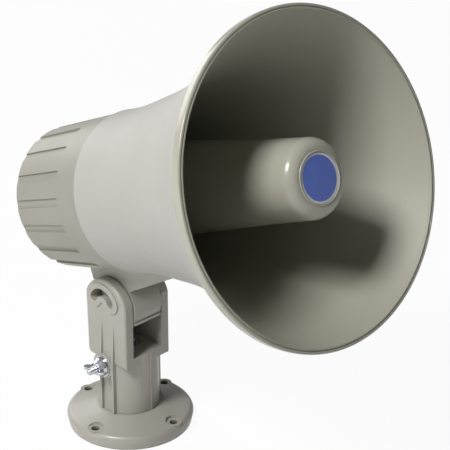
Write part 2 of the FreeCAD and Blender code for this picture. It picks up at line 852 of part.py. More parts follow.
def bell():
    body = new_body("bell", HORN)
    wall = s.bell_wall
    rim_back = s.mouth_radius - s.rim_taper
    lip = s.rim_round
    rear_lip = s.rim_taper
    spigot_outer = cover_inner_front - s.running_gap
    groove = s.mouth_radius - s.rim_groove_inset
    groove_floor = s.mouth_place - s.rim_groove_depth
    back = lambda heading: (-heading[0], -heading[1])
    turned(body, [
        ((s.throat_bore_radius, s.seam_place),),
        ((spigot_outer - s.cover_spigot_wall, s.seam_place),),
        ((spigot_outer - s.cover_spigot_wall, s.seam_place - s.cover_spigot_length),),
        ((spigot_outer, s.seam_place - s.cover_spigot_length),),
        ((spigot_outer, s.seam_place),),
        ((seam_radius, s.seam_place), ("curve", flare(0), flare_setting_out(), flare_arrival())),
        ((flare_radius(s.flare_rise_6), rim_place),),
        ((rim_back - rear_lip, rim_place), ("arc", (rim_back - rear_lip, rim_place + rear_lip), False)),
        ((rim_back, rim_place + rear_lip),),
        ((s.mouth_radius, s.mouth_place - lip), ("arc", (s.mouth_radius - lip, s.mouth_place - lip), False)),
        ((s.mouth_radius - lip, s.mouth_place),), ((groove, s.mouth_place),),
        ((groove, groove_floor),), ((groove - s.rim_groove_width, groove_floor),),
        ((groove - s.rim_groove_width, s.mouth_place),),
        ((s.mouth_radius - s.rim_front_width, s.mouth_place),
         ("curve", flare(wall)[::-1], back(flare_arrival()), back(flare_setting_out()))),
        ((seam_radius - wall, bulkhead_front),),
        ((s.throat_bore_radius, bulkhead_front),),
    ])
    # blind bosses behind the bulkhead for the cover's long screws
    first = polar(post_circle_radius, TOP)
    boss = padded(body, "XY_Plane", lambda k: circle(k, first, s.boss_radius),
                  s.boss_length, s.seam_place, reverse=True)
    repeated(body, boss, s.post_count)
    pilot = padded(body, "XY_Plane", lambda k: circle(k, first, s.cover_screw_radius + s.screw_gap),
                   s.boss_length, s.seam_place - s.boss_length, cut=True)
    repeated(body, pilot, s.post_count)
    # screw holes in the bulkhead: throat tube, reflector legs (countersunk behind), driver
    tube_hole = padded(body, "XY_Plane",
                       lambda k: circle(k, polar(s.throat_screw_ring_radius, EIGHTH), s.throat_screw_radius + s.screw_gap),
                       s.bulkhead_thickness, s.seam_place, cut=True)
    repeated(body, tube_hole, s.throat_screw_count)
    leg_hole = padded(body, "XY_Plane",
                      lambda k: circle(k, polar(leg_screw_radius, s.reflector_leg_turn), s.reflector_screw_radius + s.screw_gap),
                      s.bulkhead_thickness, s.seam_place, cut=True)
    repeated(body, leg_hole, s.reflector_leg_count)
    leg_sink = padded(body, "XY_Plane",
                      lambda k: circle(k, polar(leg_screw_radius, s.reflector_leg_turn), s.reflector_head_radius + s.screw_gap),
                      s.reflector_head_height, s.seam_place, cut=True)
    repeated(body, leg_sink, s.reflector_leg_count)
    driver_hole = padded(body, "XY_Plane",
                         lambda k: circle(k, polar(driver_screw_ring, EIGHTH), s.driver_screw_radius + s.screw_gap),
                         s.bulkhead_thickness - s.driver_hole_floor, s.seam_place, cut=True)
    repeated(body, driver_hole, s.driver_screw_count)

    def foot_holes(sketch):
        for place in foot_screw_places:
            circle(sketch, (0, place), s.foot_screw_radius + s.screw_gap)
    padded(body, "XZ_Plane", foot_holes, seam_radius + flare_radius(s.flare_rise_1), cut=True)


tail_place = bulkhead_front + s.reflector_tail_gap
leg_outer = s.reflector_tail_radius - s.reflector_leg_inset
leg_screw_radius = leg_outer - s.reflector_leg_depth / 2
foot_screw_places = [s.seam_place + s.foot_screw_first,
                     s.seam_place + s.foot_screw_first + s.foot_screw_pitch]


# Throat tube: carries the sound forward from the driver into the reflector

def throat_tube():
    body = new_body("throat_tube", HORN)
    wall = s.throat_tube_wall
    front = bulkhead_front + s.throat_tube_length
    flange_front = bulkhead_front + s.throat_flange_thickness
    turned(body, [
        ((s.throat_tube_rear_radius, bulkhead_front),),
        ((s.throat_flange_radius, bulkhead_front),),
        ((s.throat_flange_radius, flange_front),),
        ((s.throat_tube_rear_radius + wall, flange_front),),
        ((s.throat_tube_front_radius + wall, front),),
        ((s.throat_tube_front_radius, front),),
    ])
    place = polar(s.throat_screw_ring_radius, EIGHTH)
    hole = padded(body, "XY_Plane", lambda k: circle(k, place, s.throat_screw_radius + s.screw_gap),
                  s.throat_flange_thickness, bulkhead_front, cut=True)
    repeated(body, hole, s.throat_screw_count)
    screws = new_body("throat_screws", HORN)
    padded(screws, "XY_Plane", lambda k: circle(k, place, s.throat_head_radius),
           s.throat_head_height, flange_front)
    last = padded(screws, "XY_Plane", lambda k: circle(k, place, s.throat_screw_radius),
                  s.throat_flange_thickness + s.bulkhead_thickness, flange_front, reverse=True)
    ring_of_copies(screws, last, s.throat_screw_count)


def ring_of_copies(body, feature, count):
    """Turns a body of one fastener into a ring of separate ones about the horn axis."""
    single = body.Tip.Shape
    label = body.Label
    subparts.remove(body)
    body.Label = f"{label}_single"
    ring = doc.addObject("Part::Feature", label)
    copies = []
    for number in range(int(count.value)):
        copy = single.copy()
        copy.rotate(FreeCAD.Vector(0, 0, 0), FreeCAD.Vector(0, 0, 1), FULL_TURN / count.value * number)
        copies.append(copy)
    ring.Shape = Part.makeCompound(copies)
    ring.Label = label
    ring.setExpression("Placement", HORN)
    subparts.append(ring)
    doc.recompute()
    return ring


# Reflector: the nose in the mouth, hollow and closed in front, on three legs

def reflector():
    body = new_body("reflector", HORN)
    wall = s.nose_wall
    side = nose_front - s.nose_round
    step = (side - tail_place) / 4
    radii = [s.reflector_radius_1, s.reflector_radius_2, s.reflector_radius_3]
    outer = [(radius, side - step * number) for number, radius in enumerate(radii, start=1)]
    inner = [(radius - wall, place) for radius, place in outer[::-1]]
    floor = nose_front - s.disc_recess
    recess = s.disc_radius + s.disc_gap
    front_wall = floor - wall
    face = s.nose_radius - s.nose_round
    bead = s.bead_width
    turned(body, [
        ((0, floor),), ((0, front_wall),),
        ((face, front_wall), ("arc", (face, side), True)),
        ((s.nose_radius - wall, side), ("curve", inner[::-1])),
        ((s.reflector_tail_radius - wall, tail_place),),
        ((s.reflector_tail_radius, tail_place), ("curve", outer[::-1])),
        ((s.nose_radius, side), ("arc", (face, side), False)),
        ((face, nose_front),), ((face - bead / 4, nose_front + s.bead_rise),),
        ((face - bead, nose_front + s.bead_rise),), ((face - bead, nose_front),),
        ((recess, nose_front),), ((recess, floor),),
    ])
    foot = [(leg_outer - s.reflector_leg_depth, -s.reflector_leg_width / 2),
            (leg_outer, s.reflector_leg_width / 2)]

    def leg(sketch):
        low, high = foot
        corners = [(low[0], low[1]), (high[0], low[1]), (high[0], high[1]), (low[0], high[1])]
        turn = s.reflector_leg_turn
        outline(sketch, [((as_size(x) * cosine(turn) - as_size(y) * sine(turn),
                           as_size(x) * sine(turn) + as_size(y) * cosine(turn)),) for x, y in corners])
    legs = padded(body, "XY_Plane", leg, s.reflector_tail_gap + s.reflector_leg_overlap, bulkhead_front)
    repeated(body, legs, s.reflector_leg_count)
    place = polar(leg_screw_radius, s.reflector_leg_turn)
    depth = s.reflector_screw_length - s.bulkhead_thickness + s.running_gap
    pilot = padded(body, "XY_Plane", lambda k: circle(k, place, s.reflector_screw_radius + s.screw_gap),
                   depth, bulkhead_front, cut=True)
    repeated(body, pilot, s.reflector_leg_count)
    screws = new_body("reflector_screws", HORN)
    padded(screws, "XY_Plane", lambda k: circle(k, place, s.reflector_head_radius),
           s.reflector_head_height, s.seam_place)
    last = padded(screws, "XY_Plane", lambda k: circle(k, place, s.reflector_screw_radius),
                  s.reflector_screw_length, s.seam_place)
    ring_of_copies(screws, last, s.reflector_leg_count)
    # raised bead round the disc
    disc = new_body("nose_disc", HORN)
    padded(disc, "XY_Plane", lambda k: circle(k, (0, 0), s.disc_radius), s.disc_thickness, floor)


# Rear cover: a fluted cup behind the bell, with posts for its three long screws

def rear_cover():
    body = new_body("rear_cover", HORN)
    wall = s.cover_wall
    back = s.cover_rear_place
    curve = s.cover_rear_round
    inside_round = curve
    inner_rear_radius = s.cover_rear_radius - wall
    turned(body, [
        ((0, rear_face),), ((0, rear_inside),),
        ((inner_rear_radius - inside_round, rear_inside),),
        ((inner_rear_radius, rear_inside + inside_round),),
        ((cover_inner_front, cover_front),),
        ((cover_front_radius, cover_front),),
        ((s.cover_rear_radius, back + curve), ("arc", (s.cover_rear_radius - curve, back + curve), True)),
        ((s.cover_rear_radius - curve, back),),
        ((cover_recess_radius + s.cover_recess_depth, back),),
        ((cover_recess_radius, rear_face),),
    ])
    # flutes round the outside, open at the rear edge and stopped short of the seam
    beyond = s.cover_rear_radius
    floor_at = lambda place: cover_radius(place) - s.channel_depth
    start = back - s.cover_rear_round
    flute = turned(body, [
        ((floor_at(start), start),), ((floor_at(start) + beyond, start),),
        ((floor_at(s.channel_end) + beyond, s.channel_end),),
        ((floor_at(s.channel_end), s.channel_end),),
    ], angle=s.channel_angle, plane="YZ_Plane", cut=True)
    repeated(body, flute, s.channel_count)
    # posts for the cover screws
    first = polar(post_circle_radius, TOP)
    post_top = s.seam_place - s.boss_length - s.running_gap
    post = padded(body, "XY_Plane", lambda k: circle(k, first, s.post_radius),
                  post_top - rear_inside + s.post_sink, rear_inside - s.post_sink)
    repeated(body, post, s.post_count)
    bore = padded(body, "XY_Plane", lambda k: circle(k, first, s.cover_screw_radius + s.running_gap),
                  post_top - back, back, cut=True)
    repeated(body, bore, s.post_count)
    well = padded(body, "XY_Plane", lambda k: circle(k, first, s.cover_head_radius + s.running_gap),
                  s.cover_head_well, back, cut=True)
    repeated(body, well, s.post_count)
    # well and bearing of the tap selector
    centre = (0, selector_place)
    well_floor = rear_face + s.selector_well_depth
    padded(body, "XY_Plane", lambda k: circle(k, centre, s.switch_radius),
           s.selector_well_depth + s.selector_well_wall - s.cover_rear_wall + s.post_sink,
           rear_inside - s.post_sink)
    padded(body, "XY_Plane", lambda k: circle(k, centre, s.selector_radius + s.running_gap),
           s.selector_well_depth, rear_face, cut=True)
    padded(body, "XY_Plane", lambda k: circle(k, centre, s.selector_shaft_radius + s.running_gap),
           s.selector_well_wall, well_floor, cut=True)
    # cable inlet
    padded(body, "XY_Plane", lambda k: circle(k, (0, inlet_place), s.inlet_radius),
           s.cover_rear_wall, rear_face, cut=True)

    screws = new_body("cover_screws", HORN)
    head_seat = back + s.cover_head_well
    padded(screws, "XY_Plane", lambda k: circle(k, first, s.cover_head_radius),
           s.cover_head_height, head_seat, reverse=True)
    reach = s.seam_place - head_seat - s.cover_screw_short
    last = padded(screws, "XY_Plane", lambda k: circle(k, first, s.cover_screw_radius), reach, head_seat)
    ring_of_copies(screws, last, s.post_count)

    gasket = new_body("cover_gasket", HORN)

    def ring(sketch):
        circle(sketch, (0, 0), cover_front_radius - s.gasket_inset)
        circle(sketch, (0, 0), cover_inner_front)
    padded(gasket, "XY_Plane", ring, s.gasket_thickness, cover_front)


# Tap selector, the switch that it turns, the terminals and the cable grommet

def connections():
    centre = (0, selector_place)
    well_floor = rear_face + s.selector_well_depth
    knob_front = well_floor - s.running_gap
    knob = new_body("tap_selector", HORN)
    padded(knob, "XY_Plane", lambda k: circle(k, centre, s.selector_radius),
           s.selector_height, knob_front, reverse=True)
    padded(knob, "XY_Plane", lambda k: circle(k, centre, s.selector_shaft_radius),
           s.selector_shaft_length, knob_front)
    slot = rectangle((-s.selector_slot_width / 2, selector_place - s.selector_slot_reach),
                     (s.selector_slot_width / 2, selector_place + s.selector_slot_reach))
    padded(knob, "XY_Plane", lambda k: outline(k, slot),
           s.selector_slot_depth, knob_front - s.selector_height, cut=True)

    switch_seat = well_floor + s.selector_well_wall
    switch = new_body("tap_switch", HORN)
    padded(switch, "XY_Plane", lambda k: circle(k, centre, s.switch_radius), s.switch_length, switch_seat)
    shaft_end = knob_front + s.selector_shaft_length
    padded(switch, "XY_Plane", lambda k: circle(k, centre, s.selector_shaft_radius + s.running_gap),
           shaft_end + s.running_gap - switch_seat, switch_seat, cut=True)

    terminals = new_body("terminal_block", HORN)
    block = rectangle((-s.terminal_width / 2, terminal_place - terminal_height / 2),
                      (s.terminal_width / 2, terminal_place + terminal_height / 2))
    padded(terminals, "XY_Plane", lambda k: outline(k, block), s.terminal_depth, rear_inside)

    def screw_wells(sketch):
        for side in (-1, 1):
            circle(sketch, (side * s.terminal_width / 4, terminal_place), s.terminal_screw_radius)
    padded(terminals, "XY_Plane", screw_wells, s.terminal_depth / 3,
           rear_inside + s.terminal_depth, cut=True, reverse=True)

    grommet = new_body("cable_grommet", HORN)
    inlet = (0, inlet_place)
    padded(grommet, "XY_Plane", lambda k: circle(k, inlet, s.inlet_radius),
           s.cover_rear_wall, rear_face)
    padded(grommet, "XY_Plane", lambda k: circle(k, inlet, s.inlet_radius + s.inlet_lip),
           s.inlet_groove, rear_face, reverse=True)
    padded(grommet, "XY_Plane", lambda k: circle(k, inlet, s.inlet_radius + s.inlet_lip),
           s.inlet_groove, rear_inside)


# Driver: plate with the throat, diaphragm, voice coil and magnet system behind it

def driver():
    plate_back = s.seam_place - s.driver_plate_thickness
    ring_back = plate_back - s.driver_ring_depth
    plate = new_body("driver_plate", HORN)
    spout = s.throat_bore_radius - s.running_gap
    turned(plate, [
        ((s.driver_throat_radius, bulkhead_front),),
        ((s.driver_throat_radius, plate_back),),
        ((driver_ring_radius, plate_back),),
        ((driver_ring_radius, ring_back),),
        ((driver_plate_radius, ring_back),),
        ((driver_plate_radius, s.seam_place),),
        ((spout, s.seam_place),),
        ((spout, bulkhead_front),),
    ])
    place = polar(driver_screw_ring, EIGHTH)
    hole = padded(plate, "XY_Plane", lambda k: circle(k, place, s.driver_screw_radius + s.screw_gap),
                  s.seam_place - ring_back, ring_back, cut=True)
    repeated(plate, hole, s.driver_screw_count)

    film = s.diaphragm_thickness
    top_front = ring_back - film
    sphere = (dome_radius * dome_radius + s.dome_height * s.dome_height) / (2 * s.dome_height)
    apex = ring_back + s.dome_height
    diaphragm = new_body("diaphragm", HORN)
    film_radius = driver_screw_ring - s.driver_screw_radius - 2 * s.running_gap
    turned(diaphragm, [
        ((0, apex - film),),
        ((0, apex), ("arc", (0, apex - sphere), True)),
        ((dome_radius, ring_back),),
        ((film_radius, ring_back),), ((film_radius, top_front),),
        ((dome_radius, top_front), ("arc", (0, apex - film - sphere), False)),
    ])
    coil = new_body("voice_coil", HORN)

    def winding(sketch):
        circle(sketch, (0, 0), dome_radius + s.coil_thickness / 2)
        circle(sketch, (0, 0), dome_radius - s.coil_thickness / 2)
    padded(coil, "XY_Plane", winding, s.coil_length, top_front, reverse=True)

    top = new_body("top_plate", HORN)

    def annulus(outer, inner):
        def draw(sketch):
            circle(sketch, (0, 0), outer)
            circle(sketch, (0, 0), inner)
        return draw
    top_back = top_front - s.top_plate_thickness
    padded(top, "XY_Plane", annulus(driver_plate_radius, top_plate_bore), s.top_plate_thickness, top_back)
    hole = padded(top, "XY_Plane", lambda k: circle(k, place, s.driver_screw_radius + s.screw_gap),
                  s.top_plate_thickness, top_back, cut=True)
    repeated(top, hole, s.driver_screw_count)

    magnet = new_body("magnet", HORN)
    magnet_back = top_back - s.magnet_thickness
    padded(magnet, "XY_Plane", annulus(magnet_radius, magnet_bore), s.magnet_thickness, magnet_back)
    back = new_body("back_plate", HORN)
    plate_rear = magnet_back - s.back_plate_thickness
    turned(back, [
        ((s.pole_vent_radius, plate_rear),), ((magnet_radius, plate_rear),),
        ((magnet_radius, magnet_back),), ((pole_radius, magnet_back),),
        ((pole_radius, top_front),), ((s.pole_vent_radius, top_front),),
    ])

    screws = new_body("driver_screws", HORN)
    padded(screws, "XY_Plane", lambda k: circle(k, place, s.driver_head_radius),
           s.driver_head_height, top_back, reverse=True)
    reach = bulkhead_front - s.driver_hole_floor - top_back
    last = padded(screws, "XY_Plane", lambda k: circle(k, place, s.driver_screw_radius), reach, top_back)
    ring_of_copies(screws, last, s.driver_screw_count)
    return plate_rear


# Line transformer on the back plate, under its strap

def transformer(seat):
    half_width = half_core
    half_stack = s.core_stack / 2
    back = seat - s.core_height
    middle = seat - s.core_height / 2
    core = new_body("transformer_core", HORN)
    padded(core, "XZ_Plane", lambda k: outline(k, rectangle((-half_width, back), (half_width, seat))),
           s.core_stack, both_ways=True)

    def windows(sketch):
        low, high = middle - s.core_window_height / 2, middle + s.core_window_height / 2
        outline(sketch, rectangle((core_leg, low), (core_leg + s.core_window_width, high)))
        outline(sketch, rectangle((-(core_leg + s.core_window_width), low), (-core_leg, high)))
    padded(core, "XZ_Plane", windows, s.core_stack, both_ways=True, cut=True)

    winding = new_body("transformer_winding", HORN)
    gap = s.winding_gap
    reach = core_leg + s.core_window_width - gap
    tall = s.core_window_height - 2 * gap

    def coil(sketch):
        outline(sketch, rectangle((-reach, -(half_stack + s.winding_overhang)),
                                  (reach, half_stack + s.winding_overhang)))
        outline(sketch, rectangle((-(core_leg + gap), -(half_stack + gap)),
                                  (core_leg + gap, half_stack + gap)))
    padded(winding, "XY_Plane", coil, tall, middle - tall / 2)

    strap = new_body("transformer_strap", HORN)
    sheet_wall = s.strap_thickness
    outside = half_width + sheet_wall
    toe = outside + s.strap_foot

    def bent(sketch):
        outline(sketch, [
            ((-toe, seat),), ((-toe, seat - sheet_wall),), ((-outside, seat - sheet_wall),),
            ((-outside, back - sheet_wall),), ((outside, back - sheet_wall),),
            ((outside, seat - sheet_wall),), ((toe, seat - sheet_wall),), ((toe, seat),),
            ((half_width, seat),), ((half_width, back),), ((-half_width, back),), ((-half_width, seat),),
        ])
    padded(strap, "XZ_Plane", bent, s.strap_width, both_ways=True)
    screw_place = outside + s.strap_foot / 2
    places = [(screw_place, 0), (-screw_place, 0)]

    def holes(sketch):
        for place in places:
            circle(sketch, place, s.strap_screw_radius + s.screw_gap)
    padded(strap, "XY_Plane", holes, sheet_wall, seat, cut=True, reverse=True)
    plate = doc.getObjectsByLabel("back_plate")[0]
    padded(plate, "XY_Plane", holes, s.back_plate_thickness, seat, cut=True)
    screw("strap_screws", HORN, "XY_Plane", places, (s.strap_head_radius, s.strap_head_height),
          s.strap_screw_radius, seat - sheet_wall, s.back_plate_thickness, False)


# Mount foot: a block under the bell that narrows to a knuckle between the ears

def mount_foot():
    body = new_body("mount_foot", HORN)
    hub = s.hub_radius

    def at(radius, angle):
        # angle from straight up across the horn axis, towards the mouth
        return (as_size(radius) * cosine(angle) + pivot_drop, as_size(radius) * sine(angle) + pivot_back)
    roof = pivot_drop + s.foot_roof
    underside = pivot_drop + s.foot_underside
    centre = (pivot_drop, pivot_back)
    behind = s.foot_core - s.axis_ahead
    hub_top = root(hub * hub - behind * behind)
    lip, lip_top = s.visor_radius + s.lip_rise, s.visor_to_angle - s.lip_angle

    def side(sketch):
        outline(sketch, [
            ((roof, -s.foot_back),), ((underside, -s.foot_back),), ((underside, -s.foot_core),),
            ((pivot_drop + hub_top, -s.foot_core), ("arc", centre, True)),
            (at(hub, s.visor_to_angle + s.visor_root_angle),),
            (at(s.visor_radius - s.visor_wall, s.visor_to_angle),),
            (at(lip, s.visor_to_angle), ("arc", centre, True)),
            (at(lip, lip_top),),
            (at(s.visor_radius, lip_top), ("arc", centre, True)),
            (at(s.visor_radius, s.visor_from_angle),),
            ((underside, s.foot_front),), ((roof, s.foot_front),),
        ])
    padded(body, "YZ_Plane", side, s.foot_width, both_ways=True)
    # the top takes the shape of the bell, and clears the rear cover
    clear = s.running_gap
    start = s.cover_rear_place
    turned(body, [
        ((0, start),), ((cover_radius(start) + clear, start),),
        ((cover_radius(s.seam_place) + clear, s.seam_place),),
        ((seam_radius, s.seam_place), ("curve", flare(0), flare_setting_out(), flare_arrival())),
        ((flare_radius(s.flare_rise_6), rim_place),), ((0, rim_place),),
    ], cut=True)

    # thrust faces and trunnions of the tilt axle
    padded(body, "YZ_Plane", lambda k: circle(k, centre, s.thrust_radius),
           2 * (half_foot + s.thrust_rise), both_ways=True)
    padded(body, "YZ_Plane", lambda k: circle(k, centre, s.trunnion_radius),
           2 * (half_foot + s.trunnion_length), both_ways=True)

    def pilots(sketch):
        for place in foot_screw_places:
            circle(sketch, (0, place), s.foot_screw_radius + s.screw_gap)
    head_seat = seam_radius - s.bell_wall - s.foot_head_lift
    padded(body, "XZ_Plane", pilots, head_seat + s.foot_screw_depth + s.running_gap, cut=True)
    screws = new_body("foot_screws", HORN)

    def shanks(sketch):
        for place in foot_screw_places:
            circle(sketch, (0, place), s.foot_screw_radius)

    def heads(sketch):
        for place in foot_screw_places:
            circle(sketch, (0, place), s.foot_head_radius)
    padded(screws, "XZ_Plane", heads, s.foot_head_height, head_seat - s.foot_head_height)
    padded(screws, "XZ_Plane", shanks, s.foot_screw_depth, head_seat)


base_flange()
swivel_fasteners()
yoke_bracket()
clamp()
bell()
throat_tube()
reflector()
rear_cover()
connections()
transformer(driver())
mount_foot()

# Checks and export
doc.recompute()
for item in doc.Objects:
    if "Invalid" in item.State or "Error" in item.State:
        raise RuntimeError(f"{item.Label} is {item.State}")
os.makedirs("parts", exist_ok=True)
for part in subparts:
    shape = part.Shape
    if shape.isNull() or not shape.isValid() or not shape.Solids:
        raise RuntimeError(f"{part.Label} has no valid solid")
    shape.exportStep(f"parts/{part.Label}.step")
    box = shape.BoundBox
    print(f"{part.Label}: {len(shape.Solids)} solid(s), {shape.Volume / 1000:.2f} cm3,"
          f" x {box.XMin:.1f}..{box.XMax:.1f} y {box.YMin:.1f}..{box.YMax:.1f}"
          f" z {box.ZMin:.1f}..{box.ZMax:.1f}")
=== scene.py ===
# %% [markdown]
# # A horn loudspeaker on its swivel bracket
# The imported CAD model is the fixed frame. Every piece below either finishes a CAD node or
# replaces it with a smoother surface of the same size, in metres, in the same place. Sizes
# are written in millimetres, as a maker would give them, and MM turns them to metres.

# %% Load the frame
import json
import math
import bmesh
import bpy
import numpy as np
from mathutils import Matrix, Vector


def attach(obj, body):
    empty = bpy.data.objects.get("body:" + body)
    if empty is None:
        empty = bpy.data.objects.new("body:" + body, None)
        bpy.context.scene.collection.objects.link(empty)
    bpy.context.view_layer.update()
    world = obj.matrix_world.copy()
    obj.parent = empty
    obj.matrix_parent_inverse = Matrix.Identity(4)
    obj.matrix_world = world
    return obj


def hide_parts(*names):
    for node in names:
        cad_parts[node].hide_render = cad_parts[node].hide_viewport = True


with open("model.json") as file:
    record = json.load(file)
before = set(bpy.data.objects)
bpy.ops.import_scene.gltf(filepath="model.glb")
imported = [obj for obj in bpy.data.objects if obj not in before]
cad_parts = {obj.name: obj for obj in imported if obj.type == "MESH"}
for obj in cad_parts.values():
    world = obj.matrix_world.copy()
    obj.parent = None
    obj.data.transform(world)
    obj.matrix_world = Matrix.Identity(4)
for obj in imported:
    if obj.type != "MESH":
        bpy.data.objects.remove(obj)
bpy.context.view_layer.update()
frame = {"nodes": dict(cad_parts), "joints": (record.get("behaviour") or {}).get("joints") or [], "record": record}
node_of = frame["nodes"]
scene = bpy.context.scene
MM = 0.001

# %% [markdown]
# ## The horn's own frame
# The horn leans back on its tilt axle, so its pieces are drawn on the horn axis: places run
# forward along the axis, radii stand out from it. The lean could be typed in as an angle, but
# the tap selector turns about that same direction, so its joint gives it without a copy.

# %% Axis of the horn
selector_joint = next(joint for joint in frame["joints"] if joint["name"] == "tap_turn")
FORWARD = -np.array(selector_joint["axis"], float)
FORWARD /= np.linalg.norm(FORWARD)
SIDEWAYS = np.array([1.0, 0.0, 0.0])
UPWARD = np.cross(FORWARD, SIDEWAYS)
TILT_AXLE = np.array([0.0, 2.6, 92.6]) * MM
AXIS_RISE = 70.2 * MM
AXIS_AHEAD = 2.21 * MM
AXIS_ORIGIN = TILT_AXLE + UPWARD * AXIS_RISE + FORWARD * AXIS_AHEAD
print("forward", FORWARD.round(4), "up across", UPWARD.round(4), "origin", AXIS_ORIGIN.round(5))

# %% [markdown]
# ## Making a surface
# A turned part is a profile carried round an axis. Blender could spin it with a Screw
# modifier, but here the profile is a row of points and the turn gives one more parameter, so
# the whole surface is one numpy grid with quads between, and every radius is exact.

# %% Grid to mesh
MERGE_WITHIN = 2e-6
SLIVER = 1e-7


def mesh_of(name, grid, round_rows, round_columns):
    """A mesh from a grid of points. Each cell between rows i, i+1 and columns j, j+1 is one
    quad; a round direction joins its last line to its first."""
    rows, columns = grid.shape[:2]
    index = np.arange(rows * columns).reshape(rows, columns)
    if round_rows:
        index = np.vstack([index, index[:1]])
    if round_columns:
        index = np.hstack([index, index[:, :1]])
    quads = np.stack([index[:-1, :-1], index[:-1, 1:], index[1:, 1:], index[1:, :-1]], -1)
    mesh = bpy.data.meshes.new(name)
    mesh.from_pydata(grid.reshape(-1, 3), [], quads.reshape(-1, 4))
    return mesh


def close_up(mesh, sharp_degrees=38.0):
    """Merges points that meet, at poles and seams, turns faces outwards and smooths them.
    An edge stays sharp where its two faces differ by more than the given angle."""
    work = bmesh.new()
    work.from_mesh(mesh)
    bmesh.ops.remove_doubles(work, verts=work.verts, dist=MERGE_WITHIN)
    bmesh.ops.dissolve_degenerate(work, edges=work.edges, dist=SLIVER)
    bmesh.ops.recalc_face_normals(work, faces=work.faces)
    work.to_mesh(mesh)
    work.free()
    mesh.shade_smooth()
    mesh.set_sharp_from_angle(angle=math.radians(sharp_degrees))
    return mesh


print("points merge within", MERGE_WITHIN / MM, "mm")

# %% [markdown]
# ## Profiles
# A moulding has two kinds of line. A long sweep such as the flare goes smoothly through
# measured stations, and a straight-sided detail such as the rim has small rounds on its
# corners. Each kind gets one function, so that a profile stays a short table of sizes.


# %% Smooth line through stations
def through(stations, count, leave=None, arrive=None):
    """A smooth line through stations (radius, place): a cubic in each span whose slopes and
    curvatures agree at the stations. An end keeps a given direction, or has no curvature."""
    stations = np.asarray(stations, float)
    chord = np.concatenate([[0], np.cumsum(np.linalg.norm(np.diff(stations, axis=0), axis=1))])
    gap = np.diff(chord)
    size = len(stations)
    balance = np.eye(size)
    bend = np.zeros((size, 2))
    inner = np.arange(1, size - 1)
    balance[inner, inner - 1] = gap[:-1]
    balance[inner, inner] = 2 * (gap[:-1] + gap[1:])
    balance[inner, inner + 1] = gap[1:]
    slope = np.diff(stations, axis=0) / gap[:, None]
    bend[1:-1] = 6 * np.diff(slope, axis=0)
    if leave is not None:
        balance[0, :2] = (2 * gap[0], gap[0])
        bend[0] = 6 * (slope[0] - leave / np.linalg.norm(leave))
    if arrive is not None:
        balance[-1, -2:] = (gap[-1], 2 * gap[-1])
        bend[-1] = 6 * (arrive / np.linalg.norm(arrive) - slope[-1])
    curvature = np.linalg.solve(balance, bend)
    at = np.linspace(0, chord[-1], count)
    span = np.clip(np.searchsorted(chord, at, side="right") - 1, 0, size - 2)
    width = gap[span][:, None]
    after = (at - chord[span])[:, None]
    before = width - after
    cubic = (curvature[span] * before ** 3 + curvature[span + 1] * after ** 3) / (6 * width)
    line = (stations[span] / width - curvature[span] * width / 6) * before
    return cubic + line + (stations[span + 1] / width - curvature[span + 1] * width / 6) * after


print("halfway through three stations", through([[0, 0], [1, 1], [2, 0]], 3)[1].round(3))


# %% Rounded corners and the turn
def rounded_corners(corners, steps=6):
    """A profile through corners (radius, place, round). Each corner with a round becomes a
    smooth turn: the points p(t) = (1-t)^2 a + 2t(1-t) c + t^2 b between its two tangents."""
    corners = np.asarray(corners, float)
    points = []
    share = np.linspace(0, 1, steps + 1)[:, None]
    for number, (radius, place, turn) in enumerate(corners):
        corner = np.array([radius, place])
        back = corners[number - 1, :2] - corner
        ahead = corners[(number + 1) % len(corners), :2] - corner
        if turn <= 0:
            points.append(corner[None])
            continue
        start = corner + back / np.linalg.norm(back) * turn
        end = corner + ahead / np.linalg.norm(ahead) * turn
        points.append((1 - share) ** 2 * start + 2 * share * (1 - share) * corner + share ** 2 * end)
    return np.vstack(points)


def turned(name, profile, columns=192, origin=AXIS_ORIGIN, along=FORWARD, across=SIDEWAYS):
    """A closed profile of (radius, place) in mm carried round an axis: point = origin + place
    x along + radius x (cos a x across + sin a x third direction)."""
    profile = np.asarray(profile, float) * MM
    angle = np.linspace(0, 2 * np.pi, columns, endpoint=False)
    third = np.cross(along, across)
    spoke = np.cos(angle)[:, None] * across + np.sin(angle)[:, None] * third
    grid = origin + profile[:, None, 1:2] * along + profile[:, None, 0:1] * spoke[None]
    return close_up(mesh_of(name, grid, True, True))


print("a rounded corner has", len(rounded_corners([(0, 0, 0), (1, 0, 0.1), (1, 1, 0)])) - 2, "points")

# %% [markdown]
# ## Finishes
# Each finish starts from the real material and how its surface was made. Colours are sRGB
# hex values, turned to linear by one function. Patterns read Object coordinates in metres,
# because every piece sits at the origin, so a pattern's scale comes straight from a real size.


# %% Colour and node helpers
def linear(code, strength=1.0):
    """sRGB hex to linear RGBA: ((c + 0.055) / 1.055) ^ 2.4, or c / 12.92 near black."""
    channel = np.array([int(code[i:i + 2], 16) for i in (1, 3, 5)]) / 255
    flat = np.where(channel <= 0.04045, channel / 12.92, ((channel + 0.055) / 1.055) ** 2.4)
    return (*(flat * strength), 1.0)


def add(material, kind, links=None, inputs=None, **settings):
    """Adds one node with its settings, its socket values and its links."""
    node = material.node_tree.nodes.new(kind)
    for key, value in settings.items():
        setattr(node, key, value)
    for socket, value in (inputs or {}).items():
        node.inputs[socket].default_value = value
    for socket, source in (links or {}).items():
        material.node_tree.links.new(source, node.inputs[socket])
    return node


def blank(name):
    """A new material with an empty node tree."""
    material = bpy.data.materials.new(name)
    material.use_nodes = True
    material.node_tree.nodes.clear()
    return material


print("#808080 is", round(linear("#808080")[0], 3), "in linear light")

